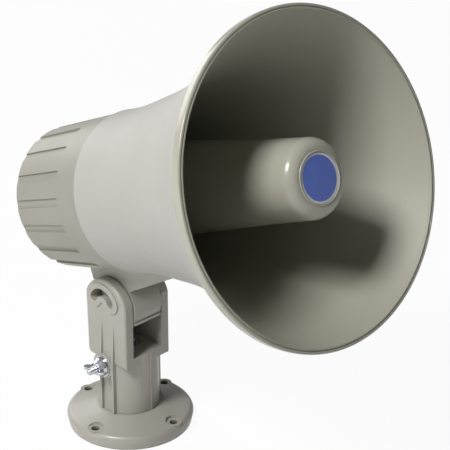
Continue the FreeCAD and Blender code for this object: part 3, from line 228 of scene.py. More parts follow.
# %% [markdown]
# ### Moulded ABS
# The housing is injection-moulded ABS with a fine satin texture from the spark-eroded mould,
# which gives a soft, broad highlight. A flat colour would look like paper, so the tone and
# the roughness drift slowly, as the flow in the mould leaves them, over 34 mm. The real grain
# is about 0.1 mm; it is drawn at 0.5 mm so that it shows, very low. The Mix node's colour
# sockets are numbers 6 and 7, and its colour result is number 2.

# %% Moulded ABS finish
GRAIN_MM = 0.5
FLOW_MM = 34.0
NOISE_LOW, NOISE_HIGH = 0.3, 0.7
SATIN_LESS, SATIN_MORE = 0.04, 0.05
BELL_SATIN = 0.56
RIM_POLISH = 0.35


def moulded_abs(name, colour, shade, roughness, inner=None, painted_shade_at=0.5):
    """Satin ABS: colour drifts between two close tones over the flow length, roughness
    follows the same flow, and the bump is the mould's grain. An inner colour is painted
    shade: the attribute side tells outside (0) from the shaded parts
    (painted_shade_at and more), which take the inner colour, and from the rim (1), where the
    roughness falls by RIM_POLISH."""
    made = blank(name)
    place = add(made, "ShaderNodeTexCoord").outputs["Object"]
    flow = add(made, "ShaderNodeTexNoise", {"Vector": place},
               {"Scale": 1 / (FLOW_MM * MM), "Detail": 3.0, "Roughness": 0.5})
    grain = add(made, "ShaderNodeTexNoise", {"Vector": place},
                {"Scale": 1 / (GRAIN_MM * MM), "Detail": 2.0, "Roughness": 0.6})
    tone = add(made, "ShaderNodeMix", {"Factor": flow.outputs["Fac"]},
               {6: linear(colour), 7: linear(shade)}, data_type="RGBA")
    satin = add(made, "ShaderNodeMapRange", {"Value": flow.outputs["Fac"]},
                {"From Min": NOISE_LOW, "From Max": NOISE_HIGH,
                 "To Min": roughness - SATIN_LESS, "To Max": roughness + SATIN_MORE})
    bump = add(made, "ShaderNodeBump", {"Height": grain.outputs["Fac"]},
               {"Strength": 0.35, "Distance": 0.012 * MM})
    colour_out, rough_out = tone.outputs[2], satin.outputs["Result"]
    # An inner colour is painted shade, spread by the point attribute read below.
    if inner:
        side = add(made, "ShaderNodeAttribute", attribute_name="side").outputs["Fac"]
        painted_shade_share = add(made, "ShaderNodeMapRange", {"Value": side}, {"From Max": painted_shade_at})
        mixed = add(made, "ShaderNodeMix", {"Factor": painted_shade_share.outputs["Result"], 6: colour_out},
                    {7: linear(inner)}, data_type="RGBA")
        polish = add(made, "ShaderNodeMapRange", {"Value": side},
                     {"From Min": 0.5, "To Max": RIM_POLISH})
        smooth = add(made, "ShaderNodeMath", {0: rough_out, 1: polish.outputs["Result"]},
                     operation="SUBTRACT")
        colour_out, rough_out = mixed.outputs[2], smooth.outputs[0]
    skin = add(made, "ShaderNodeBsdfPrincipled",
               {"Base Color": colour_out, "Roughness": rough_out,
                "Normal": bump.outputs["Normal"]}, {"IOR": 1.52})
    add(made, "ShaderNodeOutputMaterial", {"Surface": skin.outputs["BSDF"]})
    return made


# Pale satin grey outside. Inside and on the rim a darker olive is painted shade, and the rim is more polished, so
# it takes a thin gleam.
bell_abs = moulded_abs("bell_moulded_abs", "#B4B2AC", "#AEACA5", BELL_SATIN, inner="#AEAD9E")
# The driver's cover is darker and a little shinier, so its ribs show.
cover_abs = moulded_abs("cover_moulded_abs", "#9B998D", "#959387", 0.44)
# The bracket shines more. Its dark inner colour is painted shade in the depth of its flange's screw holes.
bracket_abs = moulded_abs("bracket_moulded_abs", "#AAA79E", "#A4A197", 0.34,
                          inner="#3C3A34", painted_shade_at=0.2)
# The nose is the glossiest moulding: the key lamp shows in it as a narrow bright band.
reflector_abs = moulded_abs("reflector_moulded_abs", "#B7B6A8", "#B1B0A1", 0.21)
# Dull black mouldings: the driver's inner parts, and the knob of black nylon.
inner_abs = moulded_abs("inner_moulded_abs", "#2A2A2C", "#232326", 0.5)
selector_nylon = moulded_abs("selector_black_nylon", "#26262A", "#1E1E22", 0.45)
print("roughness", BELL_SATIN, "on the bell,", round(BELL_SATIN - RIM_POLISH, 2), "on its rim")

# %% [markdown]
# ### Metals, rubber and film
# Zinc-plated steel is bright with faint rolling marks and a slightly uneven passivated skin.
# Laminated silicon steel shows its sheet edges, and ferrite is a dark sintered ceramic. Marks
# could be drawn as lines, but a noise that is squeezed along one direction looks worked, not
# printed. Rubber and film are moulded or cast, so they take the moulded recipe.

# %% Metal finishes
SKIN_CLOUD_MM = 6.0
DULL_SHARE = 0.86
WORN_LESS, WORN_MORE = 0.06, 0.08


def worked_metal(name, colour, roughness, mark_mm, stretch, metallic=1.0):
    """Metal with marks drawn out along one direction: a noise whose coordinates are scaled
    unevenly sets a small spread of roughness and a very low bump. A slow cloud dulls the tone."""
    made = blank(name)
    place = add(made, "ShaderNodeTexCoord").outputs["Object"]
    drawn = add(made, "ShaderNodeMapping", {"Vector": place}, {"Scale": stretch})
    marks = add(made, "ShaderNodeTexNoise", {"Vector": drawn.outputs["Vector"]},
                {"Scale": 1 / (mark_mm * MM), "Detail": 3.0, "Roughness": 0.55})
    cloud = add(made, "ShaderNodeTexNoise", {"Vector": place},
                {"Scale": 1 / (SKIN_CLOUD_MM * MM), "Detail": 2.0})
    tone = add(made, "ShaderNodeMix", {"Factor": cloud.outputs["Fac"]},
               {6: linear(colour), 7: linear(colour, DULL_SHARE)}, data_type="RGBA")
    spread = add(made, "ShaderNodeMapRange", {"Value": marks.outputs["Fac"]},
                 {"From Min": NOISE_LOW, "From Max": NOISE_HIGH,
                  "To Min": roughness - WORN_LESS, "To Max": roughness + WORN_MORE})
    bump = add(made, "ShaderNodeBump", {"Height": marks.outputs["Fac"]},
               {"Strength": 0.2, "Distance": 0.01 * MM})
    skin = add(made, "ShaderNodeBsdfPrincipled",
               {"Base Color": tone.outputs[2], "Roughness": spread.outputs["Result"],
                "Normal": bump.outputs["Normal"]}, {"Metallic": metallic})
    add(made, "ShaderNodeOutputMaterial", {"Surface": skin.outputs["BSDF"]})
    return made


EVEN = (1.0, 1.0, 1.0)
SHEET_EDGES = (0.1, 6.0, 0.1)
WINDINGS = (0.2, 0.2, 5.0)
zinc_steel = worked_metal("zinc_plated_steel", "#CDD1D6", 0.15, 0.8, EVEN)
plated_steel = worked_metal("nickel_plated_steel", "#B9B8B4", 0.34, 0.8, EVEN)
silicon_steel = worked_metal("laminated_silicon_steel", "#6E7276", 0.45, 0.5, SHEET_EDGES)
ferrite = worked_metal("sintered_ferrite", "#3A3A3C", 0.62, 0.6, EVEN, 0.0)
copper_wire = worked_metal("enamelled_copper", "#B8693C", 0.3, 0.5, WINDINGS)
gasket_rubber = moulded_abs("moulded_rubber", "#2B2B2D", "#232325", 0.66)
phenolic_film = moulded_abs("phenolic_film", "#8C5A34", "#7A4B2A", 0.4)
print("materials so far", len(bpy.data.materials))

# %% [markdown]
# ### The printed disc on the nose
# A thin blue disc with a white ring along its edge, printed on film. The ring could be a mesh
# of its own, but ink has no thickness, so it is a band of radius about the horn axis, read
# from Object coordinates that a Mapping node centres.

# %% Printed disc finish
NOSE_FRONT = 209.2
RECESS_DEPTH = 1.0
DISC_THICK = 0.8
RING_INNER = 13.5
RING_OUTER = 15.3
SPECK_MM = 0.7
disc_centre = AXIS_ORIGIN + FORWARD * (NOSE_FRONT - RECESS_DEPTH + DISC_THICK) * MM


def disc_print():
    """Blue film with a white ring: distance from the disc's centre picks the colour."""
    made = blank("printed_disc_film")
    place = add(made, "ShaderNodeTexCoord").outputs["Object"]
    centred = add(made, "ShaderNodeMapping", {"Vector": place},
                  {"Location": tuple(-disc_centre)})
    reach = add(made, "ShaderNodeVectorMath", {"Vector": centred.outputs["Vector"]},
                operation="LENGTH")
    beyond = add(made, "ShaderNodeMath", {0: reach.outputs["Value"]}, {1: RING_INNER * MM},
                 operation="GREATER_THAN")
    within = add(made, "ShaderNodeMath", {0: reach.outputs["Value"]}, {1: RING_OUTER * MM},
                 operation="LESS_THAN")
    ring = add(made, "ShaderNodeMath", {0: beyond.outputs[0], 1: within.outputs[0]},
               operation="MULTIPLY")
    speck = add(made, "ShaderNodeTexNoise", {"Vector": place},
                {"Scale": 1 / (SPECK_MM * MM), "Detail": 2.0})
    blue = add(made, "ShaderNodeMix", {"Factor": speck.outputs["Fac"]},
               {6: linear("#6A82D6"), 7: linear("#627ACE")}, data_type="RGBA")
    inked = add(made, "ShaderNodeMix", {"Factor": ring.outputs[0], 6: blue.outputs[2]},
                {7: linear("#E4E6EC")}, data_type="RGBA")
    gloss = add(made, "ShaderNodeMapRange", {"Value": speck.outputs["Fac"]},
                {"To Min": 0.3, "To Max": 0.38})
    bump = add(made, "ShaderNodeBump", {"Height": speck.outputs["Fac"]},
               {"Strength": 0.15, "Distance": 0.01 * MM})
    skin = add(made, "ShaderNodeBsdfPrincipled",
               {"Base Color": inked.outputs[2], "Roughness": gloss.outputs["Result"],
                "Normal": bump.outputs["Normal"]}, {"IOR": 1.49})
    add(made, "ShaderNodeOutputMaterial", {"Surface": skin.outputs["BSDF"]})
    return made


printed_disc = disc_print()
FINISH = {
    "bell_abs": bell_abs, "cover_abs": cover_abs, "bracket_abs": bracket_abs,
    "reflector_abs": reflector_abs, "inner_abs": inner_abs, "disc_print": printed_disc,
    "zinc_steel": zinc_steel, "gasket_rubber": gasket_rubber, "selector_nylon": selector_nylon,
    "phenolic_film": phenolic_film, "copper_wire": copper_wire, "plated_steel": plated_steel,
    "silicon_steel": silicon_steel, "ferrite": ferrite,
}
print("finishes", len(FINISH))

# %% [markdown]
# ## Every CAD node gets its finish
# The record says which material slot each node has, so the finishes go on by slot and no list
# is kept by hand. Nodes that a surface replaces below keep theirs too, which costs nothing.

# %% Finishes by slot
slot_of = {part["node"]: part["material_slot"] for part in frame["record"]["subparts"]}
body_of = {}
for body, names in frame["record"]["behaviour"]["bodies"].items():
    body_of.update({name: body for name in names})
for name, thing in node_of.items():
    thing.data.materials.clear()
    thing.data.materials.append(FINISH[slot_of[name]])


def shown(name, mesh, body, slot):
    """A new piece at the origin that rides on a body and has the finish of a slot."""
    piece = bpy.data.objects.new(name, mesh)
    scene.collection.objects.link(piece)
    mesh.materials.clear()
    mesh.materials.append(FINISH[slot])
    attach(piece, body)
    return piece


print("dressed", len(node_of), "nodes")

# %% [markdown]
# ## Bell
# The bell is one moulding: a flared wall 2.6 mm thick that ends in a rolled rim. A formula for
# an exponential horn would miss this one's own sweep, so the wall goes through seven stations
# measured on its outline. It leaves the seam almost parallel to the axis.

# %% Flare of the bell
WALL = 2.6
SEAM_PLACE, SEAM_RADIUS = 43.0, 52.5
MOUTH_PLACE, MOUTH_RADIUS = 204.6, 101.6
RIM_BAND = 6.7
RIM_PLACE = MOUTH_PLACE - RIM_BAND
SPREAD_AT_SEAM = 0.4
flare_radii = np.array([SEAM_RADIUS, 54.0, 58.4, 63.6, 71.8, 84.1, 97.4])
flare_places = np.linspace(SEAM_PLACE, RIM_PLACE, len(flare_radii))
stations = np.column_stack([flare_radii, flare_places])
setting_out = np.array([SPREAD_AT_SEAM, RIM_PLACE - SEAM_PLACE])
outside = through(stations, 60, setting_out, stations[-1] - stations[-2])
tangent = np.gradient(outside, axis=0)
normal = np.column_stack([-tangent[:, 1], tangent[:, 0]])
normal /= np.linalg.norm(normal, axis=1)[:, None]
inside = (outside + normal * WALL)[::-1]
print("flare from", outside[0].round(2), "to", outside[-1].round(2), "mm")

# %% [markdown]
# The rim has an outer band, a fine groove on its front face and a small inner bead. At the
# back a bulkhead closes the bell up to the sound opening, and a short skirt slips into the
# cover. These are straight-sided details, so they are tables of corners with small rounds:
# radius, place, round.

# %% Bell turned
GROOVE_DEPTH = 0.7
LIP_RADIUS, LIP_DEPTH = 97.5, 1.2
SOUND_OPENING = 12.0
BULKHEAD_FRONT = 46.0
SKIRT_PLACE, SKIRT_INNER, SKIRT_OUTER = 39.0, 46.7, 48.9
BULKHEAD_RADIUS = 49.9
rim = rounded_corners([
    (100.8, RIM_PLACE, 0.9),
    (MOUTH_RADIUS, MOUTH_PLACE, 1.6),
    (99.75, MOUTH_PLACE, 0.2),
    (99.55, MOUTH_PLACE - GROOVE_DEPTH, 0.2),
    (99.2, MOUTH_PLACE - GROOVE_DEPTH, 0.15),
    (99.0, MOUTH_PLACE, 0.3),
    (98.0, MOUTH_PLACE, 0.35),
    (LIP_RADIUS, MOUTH_PLACE - LIP_DEPTH, 0.3),
])
rear = rounded_corners([
    (SOUND_OPENING, BULKHEAD_FRONT, 0.4),
    (SOUND_OPENING, SEAM_PLACE, 0.0),
    (SKIRT_INNER, SEAM_PLACE, 0.0),
    (SKIRT_INNER, SKIRT_PLACE, 0.2),
    (SKIRT_OUTER, SKIRT_PLACE, 0.2),
    (SKIRT_OUTER, SEAM_PLACE, 0.0),
])
rim_foot = [[LIP_RADIUS, RIM_PLACE - 0.05], [97.65, RIM_PLACE]]
bulkhead_edge = [[BULKHEAD_RADIUS, BULKHEAD_FRONT]]
bell_profile = np.vstack([outside[:-1], rim_foot, rim, inside[3:-2], bulkhead_edge, rear])
bell = shown("bell_shell", turned("bell_shell", bell_profile, 256), "horn", "bell_abs")
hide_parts("bell")
print("bell rows", len(bell_profile))

# %% [markdown]
# The inside of the bell and its rim are painted darker and more olive than the outside, as
# painted shade, and the rim is more polished. Three materials would leave a hard line between
# them, so one material reads a number from every point, and that number is written here.

# %% Painted shade inside the bell and on its rim
UNDER_SKIN = 1.0
RIM_FROM_RADIUS, RIM_BACK_RADIUS, RIM_FRONT_RADIUS = 97.4, 97.6, 99.6
RIM_BACK_DEEP = 0.3


def mark_painted_shade_and_polish(mesh):
    """Writes the point attribute side: 0 outside; 0.5, painted shade,
    where the radius is more than 1 mm under the outside line at the same place and on the inner
    bead; and 1, painted shade and polish, on the rim's back face, its band and the outer part of
    its front."""
    points = np.empty(len(mesh.vertices) * 3)
    mesh.vertices.foreach_get("co", points)
    from_origin = points.reshape(-1, 3) - AXIS_ORIGIN
    place = from_origin @ FORWARD
    radius = np.linalg.norm(from_origin - place[:, None] * FORWARD, axis=1)
    outer = np.interp(place, outside[:, 1] * MM, outside[:, 0] * MM)
    side = np.where(radius < outer - UNDER_SKIN * MM, 0.5, 0.0)
    beyond = place > (RIM_PLACE - 0.01) * MM
    back_face = (radius > RIM_BACK_RADIUS * MM) & (place < (RIM_PLACE + RIM_BACK_DEEP) * MM)
    side = np.where(beyond & (radius > RIM_FROM_RADIUS * MM), 0.5, side)
    side = np.where(beyond & back_face, 1.0, side)
    side = np.where(beyond & (radius > RIM_FRONT_RADIUS * MM), 1.0, side)
    mesh.attributes.new("side", "FLOAT", "POINT").data.foreach_set("value", side)
    return side


painted_shade_marks = mark_painted_shade_and_polish(bell.data)
print("points inside", int((painted_shade_marks == 0.5).sum()), "on the rim", int((painted_shade_marks == 1).sum()))

# %% [markdown]
# ## Reflector
# The nose in the mouth is hollow: sound comes up the middle, turns round inside it and leaves
# between it and the bell. Its front has a rounded shoulder and a bead round the disc. It is
# turned from one closed profile, outside and inside together, so the wall has its thickness
# without a Solidify modifier.

# %% Nose
NOSE_WALL = 2.2
SHOULDER_ROUND, SHOULDER_CENTRE = 8.0, 16.2
CUP_ROUND = 5.8
RECESS_RADIUS, BEAD_HEIGHT = 15.3, 0.45
side_place = NOSE_FRONT - SHOULDER_ROUND
tail_place = 57.0
nose_radii = [24.2, 25.3, 27.0, 29.2, 34.6]
nose_places = np.linspace(side_place, tail_place, len(nose_radii))
nose_side = through(np.column_stack([nose_radii, nose_places]), 48)
turn = np.linspace(0, np.pi / 2, 14)
shoulder = np.column_stack([SHOULDER_CENTRE + SHOULDER_ROUND * np.sin(turn),
                            side_place + SHOULDER_ROUND * np.cos(turn)])
crest = rounded_corners([
    (RECESS_RADIUS, NOSE_FRONT - RECESS_DEPTH, 0.15),
    (RECESS_RADIUS, NOSE_FRONT + BEAD_HEIGHT, 0.25),
    (16.0, NOSE_FRONT + BEAD_HEIGHT, 0.25),
    (16.3, NOSE_FRONT + 0.02, 0.1),
])
nose_inner = nose_side[::-1] - [NOSE_WALL, 0]
cup = np.column_stack([SHOULDER_CENTRE + CUP_ROUND * np.sin(turn[::-1]),
                       side_place - 0.2 + CUP_ROUND * np.cos(turn[::-1])])
front_middle = [[0.0, NOSE_FRONT - RECESS_DEPTH]]
back_middle = [[0.0, NOSE_FRONT - RECESS_DEPTH - NOSE_WALL]]
nose_profile = np.vstack([front_middle, crest, shoulder[1:], nose_side[1:], nose_inner[:-1],
                          cup, back_middle])
nose_mesh = turned("reflector_nose", nose_profile, 160)
nose = shown("reflector_nose", nose_mesh, "horn", "reflector_abs")
print("nose rows", len(nose_profile))

# %% [markdown]
# Three feet hold the nose on the bulkhead. Each is a plain upright block in a dark gap, so it
# is a grid of four rows: the middle of its low end, two rims and the middle of its high end.

# %% Feet of the nose
LEG_OUTER, LEG_DEEP, LEG_WIDE, LEG_TURN = 33.8, 4.6, 6.5, 30.0
LEG_TOP = 60.0


def upright_box(low, high):
    """A closed box whose ends lie at two places along the horn: each end's rim has the four
    corners of the low and high radius, and its middle is their mean."""
    corners = np.array([[low[0], low[1]], [high[0], low[1]], [high[0], high[1]], [low[0], high[1]]])
    rims = [np.column_stack([corners, np.full(4, place)]) for place in (low[2], high[2])]
    middle = [np.repeat(rim.mean(axis=0)[None], 4, axis=0) for rim in rims]
    return np.stack([middle[0], rims[0], rims[1], middle[1]])


leg_low = (LEG_OUTER - LEG_DEEP, -LEG_WIDE / 2, BULKHEAD_FRONT)
leg_high = (LEG_OUTER, LEG_WIDE / 2, LEG_TOP)
for number in range(3):
    angle = math.radians(LEG_TURN + 120 * number)
    block = upright_box(leg_low, leg_high) * MM
    across = block[..., 0:1] * math.cos(angle) - block[..., 1:2] * math.sin(angle)
    upward = block[..., 0:1] * math.sin(angle) + block[..., 1:2] * math.cos(angle)
    grid = AXIS_ORIGIN + across * SIDEWAYS + upward * UPWARD + block[..., 2:3] * FORWARD
    name = "reflector_leg_" + str(number + 1)
    leg = shown(name, close_up(mesh_of(name, grid, False, True)), "horn", "reflector_abs")
    print(name, "at", round(math.degrees(angle)), "degrees,", len(leg.data.polygons), "faces")
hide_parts("reflector")

# %% [markdown]
# ## Disc on the nose
# The printed film sits in the recess, 0.2 mm below the nose's front. It is a thin turned plate
# with a small round on its front edge, because a flat circle would have no edge to catch light.

# %% Disc
DISC_RADIUS = 15.1
disc_back = NOSE_FRONT - RECESS_DEPTH
disc_front = disc_back + DISC_THICK
disc_profile = rounded_corners([
    (0.0, disc_back, 0.0), (DISC_RADIUS, disc_back, 0.0), (DISC_RADIUS, disc_front, 0.25),
    (0.0, disc_front, 0.0),
])
disc_mesh = turned("nose_disc_print", disc_profile, 128)
disc = shown("nose_disc_print", disc_mesh, "horn", "disc_print")
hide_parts("nose_disc")
print("disc faces", len(disc_mesh.polygons))

# %% [markdown]
# ## Moulded pieces that keep their CAD shape
# A sharp CAD edge never reads as plastic: real mouldings have a small round on every edge.
# The rounds could be cut in the CAD, at a high price in faces, so a merged copy of the node
# gets them from a Bevel modifier, limited to real corners.

# %% Rounding a copy of a node
FLAT_DEGREES = 0.2


def merged_copy(node):
    """A smooth copy of a CAD node with its points merged and its flat faces joined."""
    mesh = node_of[node].data.copy()
    mesh.name = node + "_soft"
    if "custom_normal" in mesh.attributes:
        mesh.attributes.remove(mesh.attributes["custom_normal"])
    work = bmesh.new()
    work.from_mesh(mesh)
    bmesh.ops.remove_doubles(work, verts=work.verts, dist=MERGE_WITHIN)
    bmesh.ops.dissolve_limit(work, angle_limit=math.radians(FLAT_DEGREES), verts=work.verts,
                             edges=work.edges)
    work.to_mesh(mesh)
    work.free()
    mesh.shade_smooth()
    piece = shown(node + "_soft", mesh, body_of[node], slot_of[node])
    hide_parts(node)
    return piece


def softened(node, width, segments=3, corner=32.0):
    """A copy of a CAD node whose corners sharper than a limit get a small round. Each face
    then weighs on the shading by its area, so that flat faces stay flat."""
    piece = merged_copy(node)
    bevel = piece.modifiers.new("edge_round", "BEVEL")
    bevel.width = width * MM
    bevel.segments = segments
    bevel.limit_method = "ANGLE"
    bevel.angle_limit = math.radians(corner)
    bevel.use_clamp_overlap = True
    bevel.miter_outer = "MITER_ARC"
    weighed = piece.modifiers.new("face_weight", "WEIGHTED_NORMAL")
    weighed.mode = "FACE_AREA"
    weighed.weight = 50
    return piece


# %% Edges of the mouldings
EDGE_ROUND = {
    "rear_cover": 0.45, "yoke_bracket": 0.5, "base_flange": None, "mount_foot": 0.6,
    "wing_nut": 0.3, "tap_selector": 0.25, "cable_grommet": 0.4, "swivel_screw": 0.3,
    "cover_screws": 0.3,
}
for node, width in EDGE_ROUND.items():
    if width:
        softened(node, width)
    else:
        flange = merged_copy(node)
    print(node, "edges", width or "shaped below")

# %% [markdown]
# ## The flange's shoulder
# The photograph shows a fuller shoulder on the flange, level with the screw seats. Drawing
# the flange anew would mean its holes and seats again, so the copy's dome and its edge arc
# move up to that shape instead; the seats, holes and underside stay.

# %% Dome and arc of the flange
FLANGE_RADIUS = 42.8
OLD_SHOULDER, OLD_TOP = 2.6, 6.4
NEW_SHOULDER, NEW_TOP = 3.4, 9.2
DOME_INNER, DOME_TOP = 22.6, 14.0
ON_SHAPE = 0.06
count = len(flange.data.vertices)
flat = np.empty(count * 3)
flange.data.vertices.foreach_get("co", flat)
place = flat.reshape(-1, 3) / MM
radius = np.hypot(place[:, 0], place[:, 1])
height = place[:, 2]
old_edge = FLANGE_RADIUS - OLD_SHOULDER
new_edge = FLANGE_RADIUS - NEW_SHOULDER
old_dome = DOME_TOP + (OLD_TOP - DOME_TOP) * (radius - DOME_INNER) / (old_edge - DOME_INNER)
new_dome = DOME_TOP + (NEW_TOP - DOME_TOP) * (radius - DOME_INNER) / (new_edge - DOME_INNER)
between_edges = (radius > DOME_INNER - 0.1) & (radius < old_edge + 0.01)
on_dome = (np.abs(height - old_dome) < ON_SHAPE) & between_edges
arc_centre = np.array([old_edge, OLD_TOP - OLD_SHOULDER])
from_centre = np.hypot(radius - arc_centre[0], height - arc_centre[1])
past_centre = (radius > old_edge) & (height > arc_centre[1] - 0.01)
on_arc = (np.abs(from_centre - OLD_SHOULDER) < ON_SHAPE) & past_centre
angle = np.arctan2(radius - arc_centre[0], height - arc_centre[1])
print("points on the dome", int(on_dome.sum()), "on the arc", int(on_arc.sum()))

# %% [markdown]
# A point on the old arc keeps its angle and goes to the new arc. A point on the old dome goes
# up to the new one, or to the top where the new arc starts. The edge tapers to the foot.

# %% Fuller shoulder
FOOT_TAPER = 1.3
moved_radius = np.where(on_arc, new_edge + NEW_SHOULDER * np.sin(angle), radius)
moved_height = np.where(on_arc, NEW_TOP - NEW_SHOULDER + NEW_SHOULDER * np.cos(angle), height)
moved_height = np.where(on_dome & (radius < new_edge), new_dome, moved_height)
moved_height = np.where(on_dome & (radius >= new_edge), NEW_TOP - 0.02, moved_height)
foot_line = (height < 0.01) & (radius > FLANGE_RADIUS - 0.05)
moved_radius = np.where(foot_line, FLANGE_RADIUS - FOOT_TAPER, moved_radius)
place[:, 0] *= moved_radius / np.maximum(radius, 1e-6)
place[:, 1] *= moved_radius / np.maximum(radius, 1e-6)
place[:, 2] = moved_height
flange.data.vertices.foreach_set("co", (place * MM).ravel())
flange.data.update()
print("points on the foot line", int(foot_line.sum()), "of", count)

# %% [markdown]
# The dome's long thin triangles shade in streaks, and neither smoothing nor weighted normals
# cure that. So its corners get the normals of the true shape: a cone, then an arc whose lean
# grows evenly to level, then the tapered edge.

# %% Corners of the flange's faces
mesh = flange.data
mesh.set_sharp_from_angle(angle=math.radians(30))
vertex_of = np.empty(len(mesh.loops), int)
mesh.loops.foreach_get("vertex_index", vertex_of)
face_start = np.empty(len(mesh.polygons), int)
mesh.polygons.foreach_get("loop_start", face_start)
face_size = np.empty(len(mesh.polygons), int)
mesh.polygons.foreach_get("loop_total", face_size)


def whole_faces(marked):
    """Corner by corner, whether every point of the corner's face is marked."""
    return np.repeat(np.logical_and.reduceat(marked[vertex_of], face_start), face_size)


print("flange faces", len(face_size), "corners", len(vertex_of))

# %% Shading of the flange
lean_top = math.atan2(DOME_TOP - NEW_TOP, new_edge - DOME_INNER)
lean_edge = math.atan2(FOOT_TAPER, NEW_TOP - NEW_SHOULDER)
arc_foot = (np.abs(height - arc_centre[1]) < 0.02) & (radius > FLANGE_RADIUS - 0.05)
on_arc_end = on_arc | (on_dome & (radius >= new_edge)) | arc_foot
arc_turn = np.clip(angle / (np.pi / 2), 0, 1)
lean = np.where(on_arc_end, lean_top + (np.pi / 2 - lean_top) * arc_turn, lean_top)
lean = np.where(foot_line, np.pi / 2 + lean_edge, lean)
from_post = np.maximum(np.hypot(place[:, 0], place[:, 1]), 1e-6)
outward = np.column_stack([place[:, 0], place[:, 1]]) / from_post[:, None]
true_normal = np.column_stack([outward * np.sin(lean)[:, None], np.cos(lean)])
turned_face = whole_faces(on_dome | on_arc_end) | whole_faces(on_arc_end | foot_line)
turned_face &= ~whole_faces(foot_line)
corner_normals = np.where(turned_face[:, None], true_normal[vertex_of], 0.0)
mesh.normals_split_custom_set(corner_normals.tolist())
print("corners shaded", int(turned_face.sum()), "of", len(turned_face))

# %% [markdown]
# The screw holes look nearly black in their depth. Light that bounces between the pale walls
# would keep them grey, so the lower part of each hole's wall is painted with a dark shade, the
# bracket's inner colour. The four holes repeat every quarter turn, so one distance finds them all.

# %% Painted shade in the screw holes
HOLE_CIRCLE, HOLE_RADIUS, HOLE_TURN = 37.0, 2.8, math.radians(9.2)
SHADE_PAINTED_BELOW = 4.0
quarter_turn = np.pi / 2
from_first = np.arctan2(place[:, 1], place[:, 0]) - HOLE_TURN
quarter = np.mod(from_first + quarter_turn / 2, quarter_turn) - quarter_turn / 2
from_hole = np.sqrt(radius ** 2 + HOLE_CIRCLE ** 2 - 2 * HOLE_CIRCLE * radius * np.cos(quarter))
hole_wall = whole_faces(np.abs(from_hole - HOLE_RADIUS) < 2 * ON_SHAPE)
# Painted shade: the lower corners of each hole's wall take the bracket's dark inner colour.
painted_hole_shade = np.where(hole_wall & (place[vertex_of, 2] < SHADE_PAINTED_BELOW), 0.5, 0.0)
mesh.attributes.new("side", "FLOAT", "CORNER").data.foreach_set("value", painted_hole_shade)
print("hole corners", int((painted_hole_shade > 0).sum()))

# %% [markdown]
# ## Thread on the clamp stud
# The stud outside the wing nut shows its thread. A bump would not break the outline, so the
# thread is real: its radius falls and rises once per pitch along a helix, with radius = outer
# - depth x |2 frac(place / pitch - angle / 360) - 1|.

# %% Threaded stud
STUD_TIP, STUD_ROOT = -34.0, -16.4
STUD_Y, STUD_Z = 2.5, 47.6
STUD_RADIUS, THREAD_DEPTH, THREAD_PITCH = 2.4, 0.35, 0.8
TIP_CHAMFER, TIP_LENGTH = 0.6, 0.45
stud_angle = np.linspace(0, 2 * np.pi, 48, endpoint=False)[None, :]
stud_place = np.linspace(0.5, STUD_ROOT - STUD_TIP, 240)[:, None]
wave = np.abs(2 * np.mod(stud_place / THREAD_PITCH - stud_angle / (2 * np.pi), 1.0) - 1)
thread_radius = STUD_RADIUS - THREAD_DEPTH * wave
tip = np.array([(0.0, 0.0), (STUD_RADIUS - TIP_CHAMFER, 0.0),
                (STUD_RADIUS - THREAD_DEPTH, TIP_LENGTH)])
all_round = np.zeros_like(stud_angle)
all_radius = np.vstack([tip[:, :1] + all_round, thread_radius, all_round])
far_place = np.full_like(stud_angle, STUD_ROOT - STUD_TIP)
all_place = np.vstack([tip[:, 1:] + all_round, stud_place + all_round, far_place])
stud_grid = np.stack([STUD_TIP + all_place, STUD_Y + all_radius * np.cos(stud_angle),
                      STUD_Z + all_radius * np.sin(stud_angle)], -1) * MM
stud_mesh = close_up(mesh_of("clamp_stud_thread", stud_grid, False, True), 60.0)
stud = shown("clamp_stud_thread", stud_mesh, "yoke", "zinc_steel")
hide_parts("clamp_stud")
print("stud faces", len(stud_mesh.polygons))

# %% [markdown]
# ## Camera
# The camera stands where the photograph's did. Its place, direction and focal length come
# from a fit to the flange's circle, the mouth's ellipse and the post's edges, so that every
# piece falls where it does in the picture.

# %% Camera
LOOK = Vector((0.62967, 0.64113, -0.43885))
camera_data = bpy.data.cameras.new("photo_camera")
camera_data.lens = 157.94
camera_data.sensor_width = 36.0
camera_data.clip_end = 50.0
camera = bpy.data.objects.new("photo_camera", camera_data)
scene.collection.objects.link(camera)
camera.location = (-0.76025, -0.86571, 0.70699)
camera.rotation_euler = LOOK.to_track_quat("-Z", "Y").to_euler()
scene.camera = camera
print("camera", round(camera.location.length, 3), "m from the flange's middle")

# %% [markdown]
# ## Light
# Four square soft boxes do what a small photo studio does. The key stands high on the left and
# makes the band of light on the nose. A side box low on the left lifts the bracket and the
# cover, a weak front box opens the mouth, and one behind the object lights the bell's top.


# %% Lamps
def soft_lamp(name, place, size, power, aim=(0.0, -0.05, 0.14)):
    """A square soft box that looks at the object: its -Z points from its place to the aim."""
    lamp_data = bpy.data.lights.new(name, "AREA")
    lamp_data.size = size
    lamp_data.energy = power
    lamp = bpy.data.objects.new(name, lamp_data)
    scene.collection.objects.link(lamp)
    lamp.location = place
    lamp.rotation_euler = (Vector(aim) - Vector(place)).to_track_quat("-Z", "Y").to_euler()
    return lamp


lamps = [
    soft_lamp("key_box", (-1.19, -0.15, 1.59), 0.5, 29.3),
    soft_lamp("side_fill", (-1.7, 0.4, 0.05), 0.8, 10.0),
    soft_lamp("front_fill", (-0.9, -1.7, 0.35), 1.0, 1.1),
    soft_lamp("back_fill", (0.1, 1.7, 0.9), 1.2, 15.0),
]
print("lamps", len(lamps), "with", sum(lamp.data.energy for lamp in lamps), "W")

# %% [markdown]
# ## World
# The camera sees a white world. Light that falls on the object from it is almost nothing, so
# that the lamps make the shadows. Gloss sees a room in between: dark walls that brighten
# upwards to a pale ceiling, because an all-white room would wash out the highlights.

